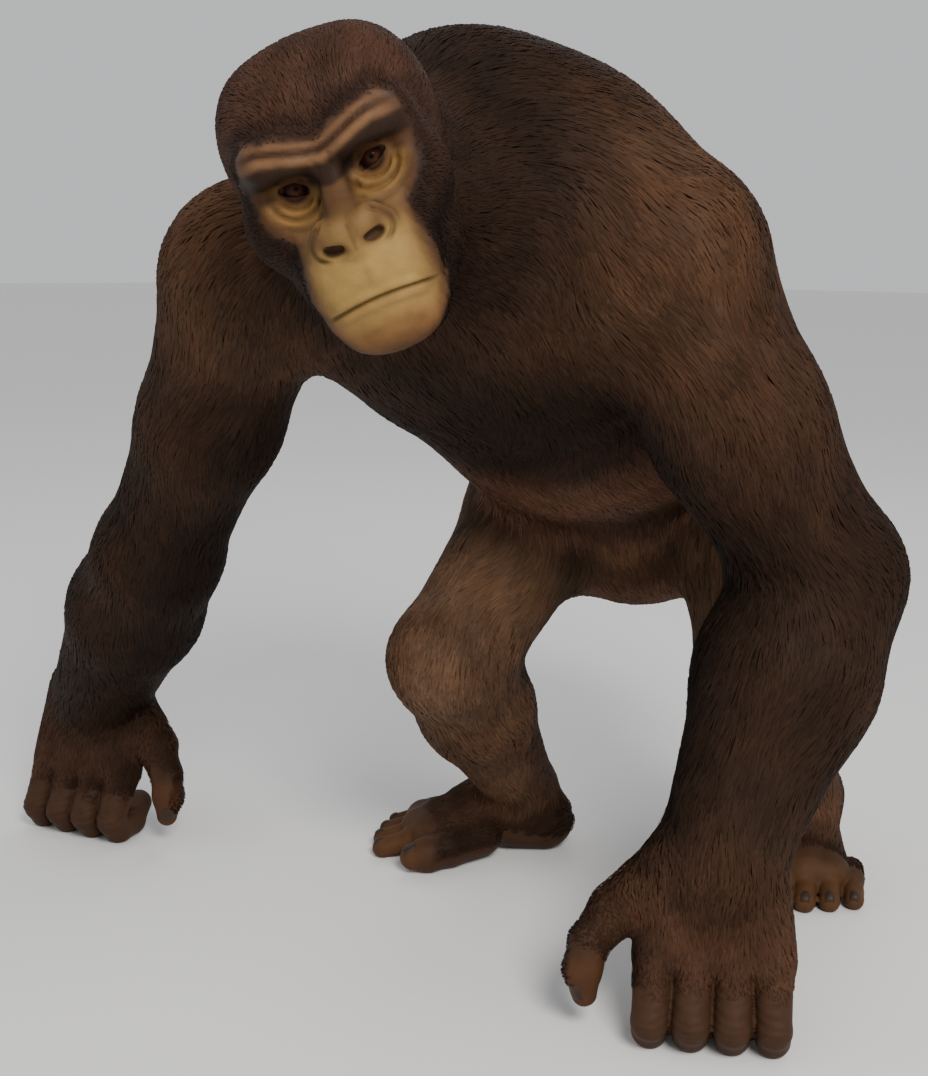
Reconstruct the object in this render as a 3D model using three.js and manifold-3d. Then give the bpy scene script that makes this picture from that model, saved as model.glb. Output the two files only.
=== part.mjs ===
// Adult male western lowland gorilla, life size, standing on the knuckles of
// both hands and the soles of both feet with the arms set wide, the head low
// in front of the shoulders and turned to the animal's left.
// Millimetres. +Z up, the trunk faces -Y, the animal's own left is +X, floor z = 0.
// The flesh is one smooth body of rounded masses, taken out to the tips of the
// coat, then parted by thin cuts where a person would name the parts.
import * as THREE from 'three';
import Module from 'manifold-3d';

const wasm = await Module();
wasm.setup();

// ---------- driving dimensions ----------
const GAP = 0.3;            // clearance between neighbouring parts
const BODY_CELL = 70;       // facet size on trunk and limbs
const HEAD_CELL = 30;       // facet size on the head
const HAND_CELL = 37;       // facet size on palms and feet
const EAR_CELL = 13;         // facet size on the ears
const EYE_RADIUS = 11.5;    // half the eyeball's breadth
const HEAD_SCALE = 0.86;    // chin to crest about 290 mm with the coat
const HAND_SCALE = 1.16;    // breadth across the knuckles about 170 mm
const FOOT_SCALE = 1.15;    // heel to toe about 300 mm
const SHOULDER_LEFT = [234, -240, 828];
const SHOULDER_RIGHT = [-190, -345, 800];
const ELBOW_LEFT = [359, -60, 474];
const ELBOW_RIGHT = [-428, -250, 438];
const WRIST_LEFT = [318, -228, 185];
const WRIST_RIGHT = [-640, -148, 185];
const HIP_LEFT = [116, 275, 540];
const HIP_RIGHT = [-90, 215, 515];
const KNEE_LEFT = [250, 65, 330];
const KNEE_RIGHT = [-89, -105, 318];
const ANKLE_LEFT = [248, 280, 88];
const ANKLE_RIGHT = [-93, 93, 88];
const SHOULDER_LINE = [29, -299, 822];   // middle of the shoulder line
const PELVIS = [17, 235, 525];           // middle of the hip line
const EYE_LINE = [98, -611, 899];        // between the eyes
const FACE_YAW = 30;        // degrees to the animal's left
const FACE_PITCH = 8;       // degrees down
const FACE_TILT = 23.5;     // crown leans to the animal's right
const HAND_YAW_LEFT = 22;   // both backs of the hands turned to the animal's left
const HAND_YAW_RIGHT = 6;
const FOOT_YAW_LEFT = 18;
const FOOT_YAW_RIGHT = -54;

const vec = (a) => new THREE.Vector3(a[0], a[1], a[2]);
const rad = (d) => d * Math.PI / 180;

// A frame has its own left (+x), back (+y) and up (+z), like the whole animal.
function frameAlong(origin, forward, up, scale = 1) {
  const y = forward.clone().negate().normalize();
  const x = y.clone().cross(up).normalize();
  const z = x.clone().cross(y).normalize();
  const m = new THREE.Matrix4().makeBasis(x, y, z).setPosition(origin);
  return { m, inv: m.clone().invert(), x, y, z, origin, scale };
}
function put(frame, c) {
  return vec(c).multiplyScalar(frame.scale).applyMatrix4(frame.m);
}

const chestMid = vec(SHOULDER_LINE);
const pelvisMid = vec(PELVIS);
const trunkForward = chestMid.clone().sub(pelvisMid).normalize();
const trunkUp = new THREE.Vector3(0, 0, 1);
const shoulderLean = vec(SHOULDER_LEFT).sub(vec(SHOULDER_RIGHT)).normalize();
const chest = frameAlong(chestMid, trunkForward, trunkForward.clone().cross(shoulderLean));
const pelvis = frameAlong(pelvisMid, trunkForward, trunkUp);
const faceForward = new THREE.Vector3(
  Math.sin(rad(FACE_YAW)) * Math.cos(rad(FACE_PITCH)),
  -Math.cos(rad(FACE_YAW)) * Math.cos(rad(FACE_PITCH)),
  -Math.sin(rad(FACE_PITCH)));
const faceUp = new THREE.Vector3(0, 0, 1).applyAxisAngle(faceForward, rad(FACE_TILT));
const headAt = frameAlong(vec(EYE_LINE), faceForward, faceUp, HEAD_SCALE);
const head = frameAlong(put(headAt, [0, 108, -45]), faceForward, faceUp, HEAD_SCALE);

function level(origin, yaw, scale = 1) {
  const f = new THREE.Vector3(Math.sin(rad(yaw)), -Math.cos(rad(yaw)), 0);
  return frameAlong(origin, f, new THREE.Vector3(0, 0, 1), scale);
}
const sides = [
  { word: 'left', s: 1, shoulder: SHOULDER_LEFT, elbow: ELBOW_LEFT, wrist: WRIST_LEFT, hip: HIP_LEFT,
    knee: KNEE_LEFT, ankle: ANKLE_LEFT, handYaw: HAND_YAW_LEFT, footYaw: FOOT_YAW_LEFT, girth: 1.03 },
  { word: 'right', s: -1, shoulder: SHOULDER_RIGHT, elbow: ELBOW_RIGHT, wrist: WRIST_RIGHT, hip: HIP_RIGHT,
    knee: KNEE_RIGHT, ankle: ANKLE_RIGHT, handYaw: HAND_YAW_RIGHT, footYaw: FOOT_YAW_RIGHT, girth: 0.89 },
];
for (const side of sides) {
  for (const k of ['shoulder', 'elbow', 'wrist', 'hip', 'knee', 'ankle']) side[k] = vec(side[k]);
  side.hand = level(side.wrist, side.handYaw, HAND_SCALE);
  side.foot = level(new THREE.Vector3(side.ankle.x, side.ankle.y, 0), side.footYaw, FOOT_SCALE);
}

// ---------- rounded masses and their smooth union ----------
function cone(a, b, ra, rb, blend = 30) {
  const d = b.clone().sub(a);
  const l2 = d.lengthSq();
  return { blend, at(x, y, z) {
    const px = x - a.x, py = y - a.y, pz = z - a.z;
    const t = Math.min(1, Math.max(0, (px * d.x + py * d.y + pz * d.z) / l2));
    return Math.hypot(px - d.x * t, py - d.y * t, pz - d.z * t) - (ra + (rb - ra) * t);
  } };
}
function oval(frame, centre, radii, blend = 40) {
  const e = frame.inv.elements;
  const s = frame.scale;
  const [cx, cy, cz] = centre.map((v) => v * s);
  const [rx, ry, rz] = radii.map((v) => v * s);
  return { blend, at(x, y, z) {
    const u = (e[0] * x + e[4] * y + e[8] * z + e[12] - cx) / rx;
    const v = (e[1] * x + e[5] * y + e[9] * z + e[13] - cy) / ry;
    const w = (e[2] * x + e[6] * y + e[10] * z + e[14] - cz) / rz;
    const k0 = Math.hypot(u, v, w);
    const k1 = Math.hypot(u / rx, v / ry, w / rz);
    return k1 > 1e-9 ? k0 * (k0 - 1) / k1 : -Math.min(rx, ry, rz);
  } };
}
const rod = (frame, a, b, ra, rb, blend = 12) =>
  cone(put(frame, a), put(frame, b), ra * frame.scale, rb * frame.scale, blend);
const hollow = (mass) => ({ ...mass, hollow: true });

function smoothMin(a, b, k) {
  const h = Math.max(k - Math.abs(a - b), 0) / k;
  return Math.min(a, b) - h * h * k * 0.25;
}
function union(masses) {
  return (x, y, z) => {
    let d = 1e4;
    for (const m of masses) {
      const v = m.at(x, y, z);
      d = m.hollow ? -smoothMin(-d, v, m.blend) : smoothMin(d, v, m.blend);
    }
    return d;
  };
}

// ---------- the trunk ----------
const trunkMasses = [
  oval(chest, [0, 150, 34], [205, 250, 186], 60),           // rib cage
  oval(chest, [0, 80, 126], [165, 205, 141], 90),           // hump over the shoulders
  oval(chest, [66, 20, -28], [102, 120, 86], 50),          // left breast
  oval(chest, [-66, 20, -28], [102, 120, 86], 50),         // right breast
  oval(chest, [118, 130, 49], [102, 205, 134], 80),         // left shoulder blade and flank
  oval(chest, [-118, 130, 49], [102, 205, 134], 80),
  oval(chest, [0, 370, 2], [198, 205, 158], 70),          // belly
  oval(pelvis, [0, -4, -50], [152, 135, 146], 70),           // hips
  oval(pelvis, [68, 64, -34], [84, 86, 108], 40),           // left buttock
  oval(pelvis, [-68, 64, -34], [84, 86, 108], 40),
];
const neckMasses = [
  cone(put(chest, [0, -20, 60]), put(head, [0, 60, 6]), 135, 80, 60),
  cone(put(chest, [60, -10, 20]), put(head, [30, 34, -36]), 90, 58, 50),
  cone(put(chest, [-60, -10, 20]), put(head, [-30, 34, -36]), 90, 58, 50),
];

// ---------- arms and legs ----------
const armMasses = [], legMasses = [];
for (const side of sides) {
  const { s, shoulder, elbow, wrist, hip, knee, ankle, girth } = side;
  const biceps = shoulder.clone().lerp(elbow, 0.5).addScaledVector(chest.x, -s * 8);
  const forearmMid = elbow.clone().lerp(wrist, 0.35);
  armMasses.push(
    cone(put(chest, [s * 105, 40, 66]), shoulder, 100, 98, 80),
    cone(shoulder.clone().lerp(elbow, 0.06), biceps, 97, 87 * girth, 34),
    cone(biceps, elbow, 88 * girth, 80 * girth, 40),
    cone(elbow, forearmMid, 90 * girth, 94 * girth, 30),
    cone(forearmMid, wrist, 94 * girth, 64, 30));
  legMasses.push(
    cone(put(pelvis, [s * 70, 34, -8]), hip.clone().lerp(knee, 0.25), 97, 93, 60),
    cone(hip.clone().lerp(knee, 0.2), knee, 94, 72, 50),
    cone(knee, knee.clone().lerp(ankle, 0.35), 74, 70, 30),
    cone(knee.clone().lerp(ankle, 0.35), ankle, 72, 46, 30));
}

// ---------- head ----------
const headMasses = [
  oval(head, [0, 10, 60], [92, 112, 92], 30),               // brain case
  oval(head, [53, -10, 80], [60, 84, 84], 40),               // left temple muscle
  oval(head, [-53, -10, 80], [60, 84, 84], 40),
  oval(head, [0, 10, 86], [60, 86, 76], 45),               // crest
  oval(head, [0, 88, 36], [82, 62, 92], 50),                // nape
  rod(head, [-50, -127, 75], [50, -127, 75], 22, 22, 22),   // brow bar
  rod(head, [50, -127, 76], [78, -102, 77], 22, 17, 32),
  rod(head, [-50, -127, 76], [-78, -102, 77], 22, 17, 32),
  rod(head, [0, -130, 65], [0, -130, 76], 21, 21, 16),
  oval(head, [72, -86, 12], [35, 42, 42], 28),              // cheekbones
  oval(head, [-72, -86, 12], [35, 42, 42], 28),
  oval(head, [0, -112, -32], [66, 60, 58], 30),             // muzzle
  oval(head, [0, -138, -58], [65, 42, 35], 24),             // upper lip
  oval(head, [0, -98, -92], [70, 70, 38], 24),              // lower jaw
  oval(head, [0, -128, -112], [50, 34, 27], 20),            // chin
  oval(head, [56, -38, -44], [37, 54, 60], 36),             // chewing muscle
  oval(head, [-56, -38, -44], [37, 54, 60], 36),
  rod(head, [0, -128, 52], [0, -156, 7], 15, 22, 20),       // bridge of the nose
  oval(head, [21, -168, -9], [20, 17, 17], 12),            // nostril wings
  oval(head, [-21, -168, -9], [20, 17, 17], 12),
  hollow(oval(head, [41, -142, 40], [25, 24, 13], 12)),     // eye hollows
  hollow(oval(head, [-41, -142, 40], [25, 24, 13], 12)),
];

// ---------- hands and feet without their fingers and toes ----------
const fingerNames = ['index_finger', 'middle_finger', 'ring_finger', 'little_finger'];
const toeNames = ['second_toe', 'third_toe', 'fourth_toe', 'fifth_toe'];
const KNUCKLE_STEP = 36, TOE_STEP = 25;
function handMasses({ s, hand }) {
  const list = [];
  for (let i = 0; i < 4; i++) {
    const x = s * (-53 + i * KNUCKLE_STEP);
    list.push(rod(hand, [x * 0.55, 0, 10], [x, -26, -80], 34, 29, 16));
  }
  list.push(rod(hand, [-s * 42, 0, -8], [-s * 93, -8, -46], 33, 29, 16));  // ball of the thumb
  list.push(rod(hand, [-s * 30, 10, -60], [s * 40, 10, -66], 27, 24, 14));  // palm
  return list;
}
function footMasses({ s, foot }) {
  return [
    rod(foot, [0, 30, 34], [0, -10, 40], 39, 40, 16),            // heel
    rod(foot, [0, 0, 70], [0, -62, 44], 44, 36, 20),             // instep
    rod(foot, [-s * 14, -60, 32], [-s * 24, -108, 27], 34, 27, 14),
    rod(foot, [s * 14, -50, 30], [s * 30, -112, 24], 32, 25, 14),
    rod(foot, [0, -100, 28], [0, -118, 25], 32, 26, 14),
  ];
}

// ---------- faceting: one vertex per sheet of surface in each boundary cell ----------
function facet(field, lo, hi, cell) {
  const [nx, ny, nz] = [0, 1, 2].map((i) => Math.ceil((hi[i] - lo[i]) / cell) + 1);
  const value = new Float64Array(nx * ny * nz);
  const id = (i, j, k) => (k * ny + j) * nx + i;
  for (let k = 0; k < nz; k++) for (let j = 0; j < ny; j++) for (let i = 0; i < nx; i++) {
    value[id(i, j, k)] = field(lo[0] + i * cell, lo[1] + j * cell, lo[2] + k * cell);
  }
  // Moves a point onto the surface without leaving the neighbourhood of its cell.
  const settle = (p, base) => {
    const h = cell * 0.04;
    for (let step = 0; step < 4; step++) {
      const d = field(...p);
      const g = [0, 1, 2].map((q) => {
        const a = [...p], b = [...p];
        a[q] += h;
        b[q] -= h;
        return (field(...a) - field(...b)) / (2 * h);
      });
      const g2 = Math.max(g[0] ** 2 + g[1] ** 2 + g[2] ** 2, 0.2);
      for (let q = 0; q < 3; q++) {
        const least = lo[q] + (base[q] - 0.15) * cell, most = lo[q] + (base[q] + 1.15) * cell;
        p[q] = Math.min(most, Math.max(least, p[q] - d * g[q] / g2 * 0.9));
      }
    }
    return p;
  };
  const points = [];
  const owner = new Map();
  for (let k = 0; k < nz - 1; k++) for (let j = 0; j < ny - 1; j++) for (let i = 0; i < nx - 1; i++) {
    const corner = [0, 1, 2, 3, 4, 5, 6, 7].map((c) => value[id(i + (c & 1), j + (c >> 1 & 1), k + (c >> 2))]);
    const inside = corner.filter((v) => v < 0).length;
    if (inside === 0 || inside === 8) continue;
    const root = new Map();
    const find = (e) => (root.get(e) === e ? e : find(root.get(e)));
    const edgeOf = (a, b) => Math.log2(a ^ b) * 8 + Math.min(a, b);
    for (let axis = 0; axis < 3; axis++) for (let c = 0; c < 8; c++) {
      if (!(c >> axis & 1) && corner[c] < 0 !== corner[c | 1 << axis] < 0) root.set(axis * 8 + c, axis * 8 + c);
    }
    for (let axis = 0; axis < 3; axis++) for (let far = 0; far < 2; far++) {
      const u = 1 << (axis + 1) % 3, v = 1 << (axis + 2) % 3, o = far << axis;
      const ring = [o, o | u, o | u | v, o | v];
      const crossed = ring.map((c, q) => edgeOf(c, ring[(q + 1) % 4])).filter((e) => root.has(e));
      if (crossed.length === 2) root.set(find(crossed[0]), find(crossed[1]));
      if (crossed.length === 4) ring.forEach((c, q) => {
        if (corner[c] < 0) root.set(find(edgeOf(c, ring[(q + 1) % 4])), find(edgeOf(c, ring[(q + 3) % 4])));
      });
    }
    const sheets = new Map();
    for (const e of root.keys()) {
      const r = find(e);
      if (!sheets.has(r)) sheets.set(r, []);
      sheets.get(r).push(e);
    }
    for (const edges of sheets.values()) {
      const sum = [0, 0, 0];
      for (const e of edges) {
        const axis = e >> 3, c = e & 7;
        const a = corner[c], b = corner[c | 1 << axis];
        const w = [c & 1, c >> 1 & 1, c >> 2];
        w[axis] += a / (a - b);
        for (let q = 0; q < 3; q++) sum[q] += w[q] / edges.length;
        owner.set(id(i, j, k) * 24 + e, points.length / 3);
      }
      points.push(...settle(sum.map((v, q) => lo[q] + ([i, j, k][q] + v) * cell), [i, j, k]));
    }
  }
  const faces = [];
  const apart = (m, q) => Math.hypot(points[3 * m] - points[3 * q], points[3 * m + 1] - points[3 * q + 1],
    points[3 * m + 2] - points[3 * q + 2]);
  for (let k = 1; k < nz - 1; k++) for (let j = 1; j < ny - 1; j++) for (let i = 1; i < nx - 1; i++) {
    const here = value[id(i, j, k)];
    for (let axis = 0; axis < 3; axis++) {
      const next = [i, j, k];
      next[axis]++;
      if (here < 0 === value[id(...next)] < 0) continue;
      const u = (axis + 1) % 3, v = (axis + 2) % 3;
      const [a, b, c, d] = [[1, 1], [0, 1], [0, 0], [1, 0]].map(([du, dv]) => {
        const at = [i, j, k];
        at[u] -= du;
        at[v] -= dv;
        return owner.get(id(...at) * 24 + axis * 8 + (du << u | dv << v));
      });
      const list = apart(a, c) < apart(b, d) ? [[a, b, c], [a, c, d]] : [[a, b, d], [b, c, d]];
      for (const f of list) faces.push(...(here < 0 ? f : [f[0], f[2], f[1]]));
    }
  }
  return solid(points, faces);
}
function solid(points, faces) {
  return new wasm.Manifold(new wasm.Mesh({
    numProp: 3, vertProperties: new Float32Array(points), triVerts: new Uint32Array(faces) }));
}
function solidOf(geometry) {
  const index = new Map();
  const points = [];
  const at = geometry.attributes.position;
  const name = [];
  for (let i = 0; i < at.count; i++) {
    const key = [at.getX(i), at.getY(i), at.getZ(i)].map((v) => v.toFixed(4)).join();
    if (!index.has(key)) {
      index.set(key, points.length / 3);
      points.push(at.getX(i), at.getY(i), at.getZ(i));
    }
    name.push(index.get(key));
  }
  const faces = [];
  const order = geometry.index ? [...geometry.index.array] : name.map((_, i) => i);
  for (let i = 0; i < order.length; i += 3) {
    const [a, b, c] = [name[order[i]], name[order[i + 1]], name[order[i + 2]]];
    if (a !== b && b !== c && a !== c) faces.push(a, b, c);
  }
  return solid(points, faces);
}
function ball(centre, radius, wide = 10, high = 6) {
  const g = new THREE.SphereGeometry(radius, wide, high);
  g.rotateX(Math.PI / 2);
  g.applyQuaternion(new THREE.Quaternion().setFromRotationMatrix(head.m));
  g.translate(centre.x, centre.y, centre.z);
  return solidOf(g);
}
// A round tapering tube through a row of [point, radius], closed at both ends.
function tube(rows, around = 8) {
  const points = [], faces = [];
  const line = rows.map(([p]) => p);
  let side = null;
  rows.forEach(([p, r], i) => {
    const t = line[Math.min(i + 1, line.length - 1)].clone().sub(line[Math.max(i - 1, 0)]).normalize();
    if (!side) side = Math.abs(t.x) < 0.8 ? new THREE.Vector3(1, 0, 0) : new THREE.Vector3(0, 1, 0);
    side.sub(t.clone().multiplyScalar(side.dot(t))).normalize();
    const up = t.clone().cross(side);
    for (let k = 0; k < around; k++) {
      const a = 2 * Math.PI * (k + 0.5) / around;
      const q = p.clone().addScaledVector(side, r * Math.cos(a)).addScaledVector(up, r * Math.sin(a));
      points.push(q.x, q.y, q.z);
    }
  });
  const rings = rows.length;
  for (let i = 0; i < rings - 1; i++) for (let k = 0; k < around; k++) {
    const a = i * around + k, b = i * around + (k + 1) % around;
    faces.push(a, b, a + around, b, b + around, a + around);
  }
  for (let k = 1; k < around - 1; k++) {
    faces.push(0, k + 1, k);
    const e = (rings - 1) * around;
    faces.push(e, e + k, e + k + 1);
  }
  return solid(points, faces);
}
// A finger or toe with tapered ends, given its joints.
function digit(joints, radii, grow = 0) {
  const r = radii.map((v) => v + grow);
  const beyond = (p, q, d) => p.clone().addScaledVector(p.clone().sub(q).normalize(), d);
  const rows = joints.map((p, i) => [p, r[i]]);
  return tube([[beyond(joints[0], joints[1], r[0] * 0.8), r[0] * 0.6], ...rows,
    [beyond(joints.at(-1), joints.at(-2), r.at(-1) * 0.8), r.at(-1) * 0.6]], 6);
}

const floorCut = solidOf(new THREE.BoxGeometry(4000, 4000, 400).translate(0, 0, -200));

// ---------- the front of the animal with its arms, the rear with its legs ----------
for (const side of sides) {
  armMasses.push(...handMasses(side));
  legMasses.push(...footMasses(side));
}
const frontFlesh = union([...trunkMasses, ...neckMasses, ...headMasses, ...armMasses]);
const rearFlesh = union([...trunkMasses, ...legMasses]);
const wholeFront = facet(frontFlesh, [-940, -920, -140], [640, 620, 1260], BODY_CELL);
const wholeRear = facet(rearFlesh, [-940, -920, -140], [640, 620, 1260], BODY_CELL);

// The same flesh inside a box, with facets of another size.
function region(flesh, centre, half, cell) {
  const c = centre.toArray();
  const edge = (x, y, z) => Math.max(
    Math.abs(x - c[0]) - half[0], Math.abs(y - c[1]) - half[1], Math.abs(z - c[2]) - half[2]);
  return facet((x, y, z) => Math.max(flesh(x, y, z), edge(x, y, z)),
    c.map((v, i) => v - half[i] - 1.5 * cell), c.map((v, i) => v + half[i] + 1.5 * cell), cell);
}

// ---------- parting the body ----------
// A rounded cutter whose hollow twin is larger by the gap all round.
function lump(frame, centre, radii, grow = 0) {
  const g = new THREE.SphereGeometry(1, 9, 6).rotateX(Math.PI / 2)
    .scale(...radii.map((r) => r * frame.scale + grow)).translate(...centre.map((c) => c * frame.scale));
  return solidOf(g.applyMatrix4(frame.m));
}
// A square cutter in a frame, likewise.
function block(frame, centre, sizes, grow = 0) {
  return solidOf(new THREE.BoxGeometry(...sizes.map((v) => v * frame.scale + 2 * grow))
    .translate(...centre.map((c) => c * frame.scale)).applyMatrix4(frame.m));
}
// Picks the loose piece whose box centre is nearest the seed.
function pick(parts, seed) {
  let best = null, bestD = Infinity;
  for (const p of parts) {
    const b = p.boundingBox();
    const out = Math.hypot(...[0, 1, 2].map((i) => (b.min[i] + b.max[i]) / 2 - seed.getComponent(i)));
    if (out < bestD) {
      best = p;
      bestD = out;
    }
  }
  return best;
}
const biggest = (piece) => piece.decompose().sort((a, b) => b.volume() - a.volume())[0];
const between = (a, b, t) => a.clone().lerp(b, t);
const pieces = {};

// The head stands in front of a flat face across the nape.
const neckWay = put(head, [0, 40, 0]).sub(put(chest, [0, -70, 60])).normalize();
const napeFrame = frameAlong(put(head, [0, 66, -10]), neckWay, faceUp);
function headBlock(grow) {
  const g = new THREE.BoxGeometry(380, 520, 520).translate(0, -260 - grow, 0).applyMatrix4(napeFrame.m);
  return solidOf(g);
}
let front = wholeFront.subtract(floorCut).subtract(headBlock(-GAP));
let rear = wholeRear.subtract(floorCut);
const neckAt = [[0, -115, 10], [165, 120, 190]];
pieces.neck = biggest(front.intersect(lump(chest, ...neckAt)));
front = front.subtract(lump(chest, ...neckAt, GAP));
for (const side of sides) {
  const { word, s, shoulder, elbow, wrist, hip, knee, ankle } = side;
  const joint = level(shoulder, 0);
  const jointAt = [[s * 8, 0, 4], [146, 146, 146]];
  pieces[`shoulder_${word}`] = biggest(front.intersect(lump(joint, ...jointAt)));
  front = front.subtract(lump(joint, ...jointAt, GAP));
  rear = rear.subtract(lump(joint, ...jointAt, GAP));

  const humerus = frameAlong(between(shoulder, elbow, 0.53), elbow.clone().sub(shoulder), new THREE.Vector3(0, 1, 0));
  const humerusAt = [[0, 0, 0], [128, 232, 128]];
  pieces[`upper_arm_${word}`] = biggest(front.intersect(lump(humerus, ...humerusAt)));
  front = front.subtract(lump(humerus, ...humerusAt, GAP));
  rear = rear.subtract(lump(humerus, ...humerusAt, GAP));
  front = front.subtract(block(side.hand, [0, 0, -110], [360, 320, 260], GAP));

  const femur = frameAlong(between(hip, knee, 0.53), knee.clone().sub(hip), new THREE.Vector3(0, 0, 1));
  const femurAt = [[0, 0, 0], [142, 205, 142]];
  pieces[`thigh_${word}`] = biggest(rear.intersect(lump(femur, ...femurAt)));
  rear = rear.subtract(lump(femur, ...femurAt, GAP));
  front = front.subtract(lump(femur, ...femurAt, GAP));
  rear = rear.subtract(block(side.foot, [0, -50, 15], [260, 400, 190], GAP));
}
const frontLoose = front.decompose(), rearLoose = rear.decompose();
for (const { word, elbow, wrist, knee, ankle } of sides) {
  pieces[`forearm_${word}`] = pick(frontLoose, between(elbow, wrist, 0.5));
  pieces[`lower_leg_${word}`] = pick(rearLoose, between(knee, ankle, 0.5));
}
// The trunk is cut square across at the waist and above the hips.
const ahead = (at, shift) => solidOf(new THREE.BoxGeometry(1600, 1600, 1600).translate(0, -800 + at + shift, 0)
  .applyMatrix4(chest.m));
const WAIST = 250, LOINS = 425;
const trunkFront = pick(frontLoose, put(chest, [0, 230, 0]));
const trunkRear = pick(rearLoose, put(chest, [0, 230, 0])).subtract(ahead(WAIST, GAP));
pieces.chest = biggest(trunkFront.intersect(ahead(WAIST, 0)));
pieces.belly = biggest(trunkRear.intersect(ahead(LOINS, 0)));
pieces.hips = biggest(trunkRear.subtract(ahead(LOINS, GAP)));

// Head: finer facets, parted from the neck, with eyes, ears, nostrils and mouth.
let skull = biggest(region(frontFlesh, put(head, [0, -10, 35]), [200, 200, 215], HEAD_CELL)
  .intersect(headBlock(0)));
for (const side of sides) {
  const { s, word } = side;
  const eye = put(head, [s * 40, -106, 43]);
  pieces[`eye_${word}`] = ball(eye, EYE_RADIUS);
  const lids = new THREE.SphereGeometry(1, 9, 6).scale(19, 22, 8.5).translate(0, -16, 0)
    .applyQuaternion(new THREE.Quaternion().setFromRotationMatrix(head.m)).translate(eye.x, eye.y, eye.z);
  skull = skull.subtract(ball(eye, EYE_RADIUS + GAP)).subtract(solidOf(lids));

  const shell = union([oval(head, [s * 97, 16, 34], [17, 18, 31], 5), oval(head, [s * 95, 8, 18], [15, 16, 21], 10),
    hollow(oval(head, [s * 115, 4, 32], [11, 12, 19], 5))]);
  const c = put(head, [s * 96, 14, 28]);
  const ear = facet(shell, c.toArray().map((v) => v - 55), c.toArray().map((v) => v + 55), EAR_CELL);
  pieces[`ear_${word}`] = ear;
  const grown = ear.translate([-c.x, -c.y, -c.z]).scale([1.06, 1.06, 1.06]).translate([c.x, c.y, c.z]);
  skull = skull.subtract(grown);
  pieces.neck = biggest(pieces.neck.subtract(grown));

  const nostril = [[put(head, [s * 17, -205, -28]), 7], [put(head, [s * 16, -180, -17]), 6.5], [put(head, [s * 12, -158, -8]), 4]];
  skull = skull.subtract(tube(nostril, 7));
}
// The mouth is a closed slot that follows the lips and drops at both corners.
{
  const rows = 8, points = [], faces = [];
  for (let i = 0; i <= rows; i++) {
    const x = -54 + 108 * i / rows;
    const z = -74 - 8 * (x / 54) ** 2;
    for (const [y, t] of [[-215, 1.6], [-215, -1.6], [-128 + 30 * (x / 54) ** 2, -0.3], [-128 + 30 * (x / 54) ** 2, 0.3]]) {
      const q = put(head, [x, y, z + t]);
      points.push(q.x, q.y, q.z);
    }
  }
  for (let i = 0; i < rows; i++) for (let k = 0; k < 4; k++) {
    const a = i * 4 + k, b = i * 4 + (k + 1) % 4;
    faces.push(a, a + 4, b, b, a + 4, b + 4);
  }
  const e = rows * 4;
  faces.push(0, 1, 2, 0, 2, 3, e, e + 2, e + 1, e, e + 3, e + 2);
  skull = skull.subtract(solid(points, faces));
}
pieces.head = biggest(skull);

// Hands: palm with its thumb and four fingers, folded so that the backs of the
// middle joints carry the weight.
for (const side of sides) {
  const { s, word, hand, foot, wrist } = side;
  let palm = biggest(region(frontFlesh, put(hand, [0, -5, -65]), [165, 150, 160], HAND_CELL)
    .intersect(block(hand, [0, 0, -110], [360, 320, 260])).subtract(floorCut));
  const digits = [];
  fingerNames.forEach((name, i) => {
    const x = s * (-53 + i * KNUCKLE_STEP);
    const long = [0.96, 1.0, 0.98, 0.88][i];
    const r = [17.3, 17.8, 17.4, 16.4][i];
    const low = 0.84 * r - (wrist.z + 1.5) / HAND_SCALE;
    const joints = [[x, -30, -92], [x * 1.03, -30 - 26 * long, low + 17], [x * 1.03, -30 - 12 * long, low],
      [x * 1.03, -30 + 16 * long, low + 1], [x * 1.03, -30 + 32 * long, low + 20]];
    digits.push([name, joints, [r, r, r, r * 0.95, r * 0.8].map((v) => v * HAND_SCALE)]);
  });
  digits.push(['thumb', [[-s * 93, -10, -47], [-s * 119, -22, -74], [-s * 117, -28, -118]], [23, 21, 17]]);
  for (const [name, joints, radii] of digits) {
    const line = joints.map((j) => put(hand, j));
    palm = palm.subtract(digit(line, radii, GAP));
    pieces[`${name}_${word}`] = digit(line, radii).subtract(floorCut);
  }
  pieces[`hand_${word}`] = biggest(palm);

  // Feet: sole flat on the floor, great toe standing apart like a thumb.
  let sole = biggest(region(rearFlesh, put(foot, [0, -50, 55]), [170, 180, 145], HAND_CELL)
    .intersect(block(foot, [0, -50, 15], [260, 400, 190])).subtract(floorCut));
  const toes = toeNames.map((name, i) => {
    const x = s * (-20 + i * TOE_STEP);
    const back = [0, 2, 10, 22][i];
    const r = [12.3, 12.3, 12.1, 11.6][i];
    const low = 0.9 * r - 1.1;
    return [name, [[x, -108 + back, low + 8], [x * 1.04, -142 + back, low + 5], [x * 1.06, -166 + back, low]],
      [r, r, r]];
  });
  toes.push(['great_toe', [[-s * 34, -50, 28], [-s * 58, -94, 21], [-s * 68, -131, 17]], [24, 21.5, 20]]);
  for (const [name, joints, radii] of toes) {
    const line = joints.map((j) => put(foot, j));
    sole = sole.subtract(digit(line, radii.map((v) => v * FOOT_SCALE), GAP));
    pieces[`${name}_${word}`] = digit(line, radii.map((v) => v * FOOT_SCALE)).subtract(floorCut);
  }
  pieces[`foot_${word}`] = biggest(sole);
}

// ---------- named parts and their colours ----------
const COAT = 0x3d2b20, COAT_CROWN = 0x4e3226, FACE = 0x8a6c48, DARK_SKIN = 0x3a2a20, EYE = 0x2a120c;
const group = new THREE.Group();
group.name = 'gorilla';
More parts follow.
